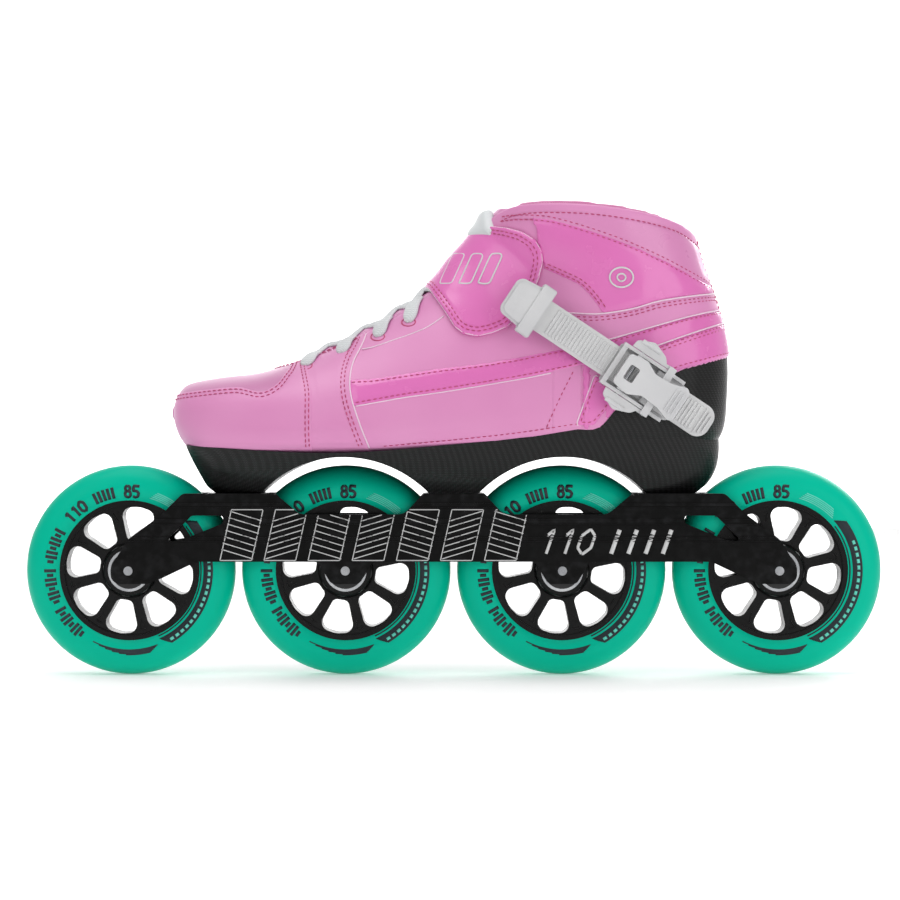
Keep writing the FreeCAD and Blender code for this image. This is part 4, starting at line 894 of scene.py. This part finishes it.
def apply_modifiers(pad):
    """Turns what the modifiers make of a pad into its own mesh."""
    shown = bpy.context.evaluated_depsgraph_get()
    mesh = bpy.data.meshes.new_from_object(pad.evaluated_get(shown))
    pad.modifiers.clear()
    pad.data = mesh


def make_lining():
    """The padded collar: a soft ring just inside the leather, standing a little above it."""
    raised = edge_field([(x, z + 2.6) for x, z in RIM_LINE],
                        [(BEHIND, 220), (BEHIND, BELOW), (AHEAD, BELOW), (AHEAD, 200), (-10, 231)])
    area = all_of(raised, X - 27, Z - 165)
    pad = shell("collar_padding", area, -8.8, -3.4, FINISHES["lining"], edge=3.0, both=True, uneven=0.5,
                uneven_size=18.0, slot="lining", replaces=["collar_lining"])
    swollen(pad, 0.0022, 3.0, 0.0012)


def make_tongue():
    """The padded tongue in the throat, with its white leather tip above the strap."""
    width = 24.0 - np.abs(ACROSS)
    area = np.where(ON_TOP, all_of(width, X + 92, -(X - 24), 246 - Z), -5.0)
    pad = shell("tongue_padding", area, -7.2, -3.4, FINISHES["satin"], edge=2.0, swell=3.0, swell_width=14.0,
                uneven=0.4, slot="lining", replaces=["tongue"])
    swollen(pad, 0.0022, 3.0, 0.0012)
    tip = np.where(ON_TOP, all_of(18.0 - np.clip(Z - 232, 0, 14) * 0.7 - np.abs(ACROSS), Z - 228, 243.5 - Z, 27 - X), -5.0)
    shell("tongue_tip", tip, -3.0, 4.2, FINISHES["white_leather"], edge=4.0, both=True, uneven=0.3,
          slot="lace")


STRAP_LATERAL = [(-30, 212), (-8, 237), (8, 236.5), (20, 234.6), (28, 233.5), (36, 231), (42.5, 226.5), (45.8, 221), (46.4, 215), (44, 206),
                 (39, 195), (28, 181.5), (20, 178), (12, 176.2), (5, 177.6), (0.5, 181), (-4, 188.5), (-12, 201)]
STRAP_MEDIAL = [(-30, 212), (-8, 237), (8, 236.5), (20, 234.6), (30, 232), (44, 214), (58, 180), (26, 166), (8, 186), (-12, 201)]


def make_flap():
    """The glossy ankle strap that the ladder pulls tight, and the plain marks sewn on it."""
    lateral = area_field(STRAP_LATERAL, smooth=False)
    medial = area_field(STRAP_MEDIAL, smooth=False)
    both = np.where(ACROSS < 0, lateral, medial)
    flap = shell("ankle_strap_leather", both, 0.4, 3.0, FINISHES["gloss"], edge=1.5,
                 grooves=[(2.0, 0.3), (3.9, 0.3)], uneven=0.35, uneven_size=15.0, slot="gloss_pink",
                 replaces=["ankle_strap"], ride=False)
    sewing, border, mark = Solid(), Solid(), Solid()
    for inset in (2.0, 3.9):
        sew(sewing, contours(both, inset, 60 - Z + 200), 2.9)
    pipe(border, contours(both, 0.25, Z - 168), 1.7, 0.7, 0.9)
    bars = [[(-6 + i * 9.5, 203), (0 + i * 9.5, 203), (7.5 + i * 9.5, 219), (1.5 + i * 9.5, 219)] for i in range(3)]
    for bar in bars:
        pipe(mark, contours(np.where(ACROSS < 0, area_field(bar, smooth=False), -5.0), 0.0), 3.0, 0.9, 0.35)
    rest = [sewing.piece("ankle_strap_stitches", FINISHES["thread"], slot="upper_pink", ride=False),
            border.piece("ankle_strap_edge", FINISHES["piping"], slot="lace", ride=False),
            mark.piece("ankle_strap_mark", FINISHES["print"], slot="lace", ride=False)]
    for part in [flap] + rest:
        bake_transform(part)


LACE_ROWS = [-74.5, -56, -37, -21, -9]
LACE_FEET = [161.5, 168.0, 176.5, 184.0]  # how low each lace end reaches on the side of the boot


def surface_finder():
    """Finds the boot's surface straight below, or straight in from the side of, a point in mm."""
    faces = []
    for i in range(ROWS - 1):
        start, after = i * COLUMNS, (i + 1) * COLUMNS
        for j in range(COLUMNS):
            k = (j + 1) % COLUMNS
            faces.append((start + j, start + k, after + k, after + j))
    return BVHTree.FromPolygons([tuple(p) for p in GRID.reshape(-1, 3)], faces)


SURFACE = surface_finder()


def from_above(x, y, height):
    hit, normal, _, _ = SURFACE.ray_cast(Vector((x, y, 400)), Vector((0, 0, -1)))
    normal = normal if normal.z > 0 else -normal
    return np.array(hit + normal * height), np.array(normal)


def side_reach(x, z, side):
    """How far across the boot, in mm, its surface is at a point seen from one side."""
    hit, _, _, _ = SURFACE.ray_cast(Vector((x, side * 200, z)), Vector((0, -side, 0)))
    return hit.y


def make_laces():
    """Flat braided laces crossing over the tongue, each end turning down into the eyestay."""
    laces = Solid()
    spans = [(LACE_ROWS[0], LACE_ROWS[0])]
    for low, high in zip(LACE_ROWS, LACE_ROWS[1:]):
        spans += [(low, high), (high, low)]
    count = 33
    for number, (near, far) in enumerate(spans):
        route, ups = [], []
        for k, share in enumerate(np.linspace(0, 1, count)):
            ends = min(k, count - 1 - k)
            lift = 0.2 + 0.8 * (1 - math.exp(-ends * 0.5))
            lift += 1.0 * math.exp(-((share - 0.5) / 0.14) ** 2) * (number % 2)
            point, normal = from_above(near + (far - near) * share, -15.0 + 30.0 * share, lift)
            route.append(point)
            ups.append(normal)
        sizes = np.array([min(1.0, 0.7 + 0.1 * min(k, count - 1 - k)) for k in range(count)])
        sweep(laces, route, ups, ellipse(6.8, 2.2, 12), sizes)
    for x, foot in zip(LACE_ROWS, LACE_FEET):
        for side in (LATERAL, MEDIAL):
            reach = side_reach(x - 2.0, foot, side)
            path, ups = [], []
            for share in np.linspace(0, 1, 15):
                across = reach + (side * 11.0 - reach) * share
                point, normal = from_above(x - 2.0 + 4.0 * share, across, 0.5 + 1.3 * math.sin(math.pi * share))
                path.append(point)
                ups.append(normal)
            sizes = 0.35 + 0.65 * np.sqrt(np.clip(np.linspace(0.0, 4.0, len(path)), 0, 1))
            sweep(laces, path, ups, ellipse(8.6, 3.0, 14), sizes)
    laces.piece("lace_braids", FINISHES["lace"], slot="lace", replaces=["laces"])
    feet = Solid()
    for x, foot in zip(LACE_ROWS, LACE_FEET):
        for side in (LATERAL, MEDIAL):
            turns = np.linspace(0, 2 * math.pi, 22, endpoint=False)
            ring, ups = [], []
            for t in turns:
                spot_x, spot_z = x - 2.4 + 3.6 * math.cos(t), foot + 0.3 + 2.2 * math.sin(t)
                start = Vector((spot_x, side * 200, spot_z))
                hit, normal, _, _ = SURFACE.ray_cast(start, Vector((0, -side, 0)))
                if hit is None:
                    break
                normal = normal if normal.y * side > 0 else -normal
                ring.append(np.array(hit + normal * 0.25))
                ups.append(np.array(normal))
            if len(ring) == len(turns):
                sweep(feet, ring, ups, ellipse(0.9, 0.7, 8), closed=True)
    feet.piece("lace_eyelets", FINISHES["thread"], slot="upper_pink")


# ---------------------------------------------------------------- printed marks

def node_surface(name):
    """A finder for a CAD node's surface, in metres."""
    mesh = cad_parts[name].data
    return BVHTree.FromPolygons([v.co[:] for v in mesh.vertices], [p.vertices[:] for p in mesh.polygons])


def print_strokes(solid, strokes, width, place, step=0.8, top=0.06):
    """Adds thin printed strokes: each 2D line in mm, laid on a surface by place, broken where that finds none."""
    for stroke in strokes:
        line = np.array(stroke, float)
        run = np.concatenate([[0], np.cumsum(np.linalg.norm(np.diff(line, axis=0), axis=1))])
        wanted = np.linspace(0, run[-1], max(int(run[-1] / step), 2) + 1)
        line = np.stack([np.interp(wanted, run, line[:, k]) for k in range(2)], 1)
        spots = [place(*p) for p in line]
        group = []
        for spot in spots + [None]:
            if spot is not None and (not group or np.linalg.norm(spot[0] - group[-1][0]) < step * 2.5):
                group.append(spot)
                continue
            if len(group) > 1:
                centre = np.array([g[0] for g in group])
                ups = np.array([g[1] for g in group])
                half = width / 2
                sweep(solid, centre, ups, [(-half, -0.05), (half, -0.05), (half, top), (-half, top)])
            group = [] if spot is None else [spot]


def digit(character, x, z, height, lean=0.25):
    """Simple stroke digits, leaning forward."""
    tall, wide = height, height * 0.55
    if character == "1":
        lines = [[(wide * 0.2, tall * 0.75), (wide * 0.6, tall), (wide * 0.6, 0)]]
    elif character == "0":
        r = wide * 0.45
        corners = [(r, 0), (wide - r, 0), (wide, r), (wide, tall - r), (wide - r, tall), (r, tall), (0, tall - r), (0, r)]
        lines = [corners + corners[:1]]
    elif character == "3":
        lines = [[(0, tall), (wide, tall), (wide * 0.45, tall * 0.56), (wide * 0.8, tall * 0.5), (wide, tall * 0.3),
                  (wide * 0.8, 0.04 * tall), (wide * 0.3, 0), (0, tall * 0.12)]]
    elif character == "4":
        lines = [[(wide * 0.75, 0), (wide * 0.75, tall), (0, tall * 0.3), (wide * 1.05, tall * 0.3)]]
    elif character == "8":
        turn = [2 * math.pi * k / 14 for k in range(15)]
        lines = [[(wide / 2 + wide * 0.4 * math.sin(t), tall * 0.76 + tall * 0.23 * math.cos(t)) for t in turn],
                 [(wide / 2 + wide * 0.5 * math.sin(t), tall * 0.27 + tall * 0.27 * math.cos(t)) for t in turn]]
    else:
        lines = [[(wide, tall), (wide * 0.1, tall), (0, tall * 0.56), (wide * 0.6, tall * 0.58), (wide, tall * 0.4),
                  (wide * 0.9, tall * 0.08), (wide * 0.4, 0), (0, tall * 0.1)]]
    return [[(x + a + b * lean, z + b) for a, b in line] for line in lines]


def number_strokes(text, x, z, height, lean=0.25):
    strokes = []
    for i, character in enumerate(text):
        strokes += digit(character, x + i * height * 0.78, z, height, lean)
    return strokes


def make_frame_marks():
    """Plain hatched blocks and the wheel size on the frame's outer faces."""
    finder = node_surface("frame")
    for side, word in ((LATERAL, "lateral"), (MEDIAL, "medial")):
        def place(x, z, side=side):
            start = Vector((x * MM, side * 0.06, z * MM))
            hit, normal, _, _ = finder.ray_cast(start, Vector((0, -side, 0)))
            if hit is None or abs(hit.y) < 0.0150 or abs(normal.y) < 0.6:
                return None
            return np.array(hit) / MM, np.array((0.0, float(side), 0.0))

        def turned(lines, middle, side=side):
            return lines if side == LATERAL else [[(2 * middle - x, z) for x, z in line] for line in lines]

        marks = Solid()
        blocks = []
        for number in range(7):
            left = -122 + 23.0 * number
            ring = [(left, 60.5), (left + 16.5, 60.5), (left + 22.5, 87.0), (left + 6.0, 87.0)]
            blocks.append(ring + ring[:1])
            rise = 5.0 if number % 2 else -5.0
            for k in range(1, 8):
                share = k / 8
                start, end = left + 6.0 * share, left + 16.5 + 6.0 * share
                z = 60.5 + 26.5 * share
                blocks.append([(start, min(max(z - rise / 2, 60.5), 87.0)),
                               (end, min(max(z + rise / 2, 60.5), 87.0))])
        print_strokes(marks, turned(blocks, -41.75), 0.5, place)
        print_strokes(marks, turned(number_strokes("110", 44, 64.0, 12.5, 0.35), 61.0), 1.5, place)
        bars = [[(82 + 9 * i, 64), (86.5 + 9 * i, 76.5)] for i in range(4)]
        print_strokes(marks, turned(bars, 98.0), 2.2, place)
        marks.piece(f"{word}_frame_marks", FINISHES["print"], slot="white_plastic")


PRINT_RADIUS = 45.0  # mm; angles round a tyre are measured as lengths at this radius


def round_arc(start, stop, radius):
    """A stroke round the wheel between two angles in degrees, clockwise from the top."""
    return [(PRINT_RADIUS * math.radians(d), radius) for d in np.linspace(start, stop, 40)]


def make_tyre_marks(number):
    """The dark and pale arcs, plain bars and size numbers printed on both faces of a tyre."""
    name = f"tyre_{number}"
    finder = node_surface(name)
    low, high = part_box(name)
    centre = (low + high) / 2 / MM
    dark, pale = Solid(), Solid()
    for side in (LATERAL, MEDIAL):
        def place(turn, radius, side=side):
            angle = turn / PRINT_RADIUS * -side
            x, z = centre.x + radius * math.sin(angle), centre.z + radius * math.cos(angle)
            hit, normal, _, _ = finder.ray_cast(Vector((x, side * 30, z)) * MM, Vector((0, -side, 0)))
            if hit is None:
                return None
            return np.array(hit) / MM, np.array(normal if normal.y * side > 0 else -normal)
        for k in range(9):
            print_strokes(dark, [round_arc(48 + 0.7 * k, 156 - 0.8 * k, 39.2 + k * 0.56)], 0.6, place, 1.6)
        for k in range(6):
            print_strokes(dark, [round_arc(159 + 1.2 * k, 207 - 5 * k, 41.6 + k * 0.5)], 0.6, place, 1.6)
        print_strokes(dark, [round_arc(52, 156, 37.6)], 0.8, place, 1.6)
        for k in range(18):
            print_strokes(pale, [round_arc(68 + k * 4.6, 70.8 + k * 4.6, 42.0)], 1.5, place, 1.0, 0.16)
        for k in range(5):
            print_strokes(pale, [round_arc(16 + k, 46 - k, 39.4 + k * 0.9)], 0.5, place, 1.6)
        for text, where in (("110", -50), ("85", -3)):
            start = PRINT_RADIUS * math.radians(where)
            print_strokes(dark, number_strokes(text, start, 38.4, 6.0, 0.0), 1.6, place, 0.7)
        for k in range(26):
            start = PRINT_RADIUS * math.radians(-143 + k * 3.3)
            if k in (8, 17):
                continue
            foot, tip = (38.4, 44.4) if k % 3 else (39.8, 43.0)
            print_strokes(dark, [[(start, foot), (start, tip)]], 1.7, place, 0.7)
        for k in range(5):
            start = PRINT_RADIUS * math.radians(-25 + k * 3.3)
            print_strokes(dark, [[(start, 38.4), (start, 44.4)]], 1.7, place, 0.7)
    dark.piece(f"tyre_{number}_print", FINISHES["tyre_print"], body=f"wheel_{number}", slot="tyre")
    pale.piece(f"tyre_{number}_tint", FINISHES["tyre_haze"], body=f"wheel_{number}", slot="tyre")


def make_emblem():
    """Two plain rings on each ankle panel."""
    mark = Solid()
    turns = [2 * math.pi * k / 24 for k in range(24)]
    ring = [(86 + 6.2 * math.cos(t), 207 + 5.2 * math.sin(t)) for t in turns]
    inner = [(86 + 2.6 * math.cos(t), 207 + 2.2 * math.sin(t)) for t in turns]
    for side in (LATERAL, MEDIAL):
        for shape in (ring, inner):
            field = all_of(area_field(shape, smooth=False), side_field(side))
            pipe(mark, contours(field, 0.0), 1.45, 0.9, 0.7)
    mark.piece("ankle_emblem", FINISHES["print"], slot="lace")


# ---------------------------------------------------------------- the room

def make_room():
    mesh = bpy.data.meshes.new("floor")
    size, back = 20.0, 4.0
    rows = [(-20.0, 0.0)] + [(back - 1.5 + 1.5 * math.sin(a), 1.5 - 1.5 * math.cos(a)) for a in np.linspace(
        0, math.pi / 2, 14)] + [(back, 5.0)]
    points = [(x, y, z) for y, z in rows for x in (-size, size)]
    faces = [(2 * i, 2 * i + 1, 2 * i + 3, 2 * i + 2) for i in range(len(rows) - 1)]
    mesh.from_pydata(points, [], faces)
    mesh.polygons.foreach_set("use_smooth", [True] * len(faces))
    floor = bpy.data.objects.new("floor", mesh)
    bpy.context.scene.collection.objects.link(floor)
    paper = Finish("paper_floor", linear(250, 250, 250), 0.7)
    paper.vary_roughness(0.05, 4.0)
    paper.shader.inputs["Emission Color"].default_value = (1, 1, 1, 1)
    paper.shader.inputs["Emission Strength"].default_value = 0.2
    mesh.materials.append(paper.material)


def add_light(name, place, aim, size, power):
    data = bpy.data.lights.new(name, "AREA")
    data.shape, data.size, data.energy = "SQUARE", size, power
    made = bpy.data.objects.new(name, data)
    bpy.context.scene.collection.objects.link(made)
    made.location = place
    made.rotation_euler = (Vector(aim) - Vector(place)).to_track_quat("-Z", "Y").to_euler()


def make_lights():
    world = bpy.data.worlds.new("studio")
    bpy.context.scene.world = world
    world.use_nodes = True
    world.node_tree.nodes["Background"].inputs["Color"].default_value = (1, 1, 1, 1)
    world.node_tree.nodes["Background"].inputs["Strength"].default_value = 0.37
    middle = (0, 0, 0.12)
    add_light("top", (-0.1, -0.15, 1.9), middle, 1.6, 20)
    add_light("key", (-1.0, -1.2, 1.1), middle, 1.0, 3.5)
    add_light("fill", (1.2, -1.3, 0.5), middle, 1.2, 6.5)
    add_light("rim", (0.8, 1.2, 0.9), middle, 0.8, 8)
    add_light("backdrop_left", (-1.0, 2.2, 0.9), (-1.0, 4.0, 0.9), 1.6, 34)
    add_light("backdrop_right", (1.0, 2.2, 0.9), (1.0, 4.0, 0.9), 1.6, 34)


def make_camera():
    data = bpy.data.cameras.new("camera")
    data.lens, data.sensor_width = 113.8, 36
    made = bpy.data.objects.new("camera", data)
    bpy.context.scene.collection.objects.link(made)
    made.location = (-0.002, -1.5, 0.1288)
    made.rotation_euler = (Vector((-0.002, 0, 0.118)) - made.location).to_track_quat("-Z", "Y").to_euler()
    bpy.context.scene.camera = made


make_camera()
make_room()
make_lights()
finish_nodes()
make_upper()
make_overlays()
make_lining()
make_tongue()
make_flap()
make_laces()
make_emblem()
make_frame_marks()
for wheel in (1, 2, 3, 4):
    make_tyre_marks(wheel)
threads.piece("upper_stitches", FINISHES["thread"], slot="upper_pink")
edges.piece("upper_edges", FINISHES["piping"], slot="lace")
bpy.context.scene.view_settings.view_transform = "Standard"
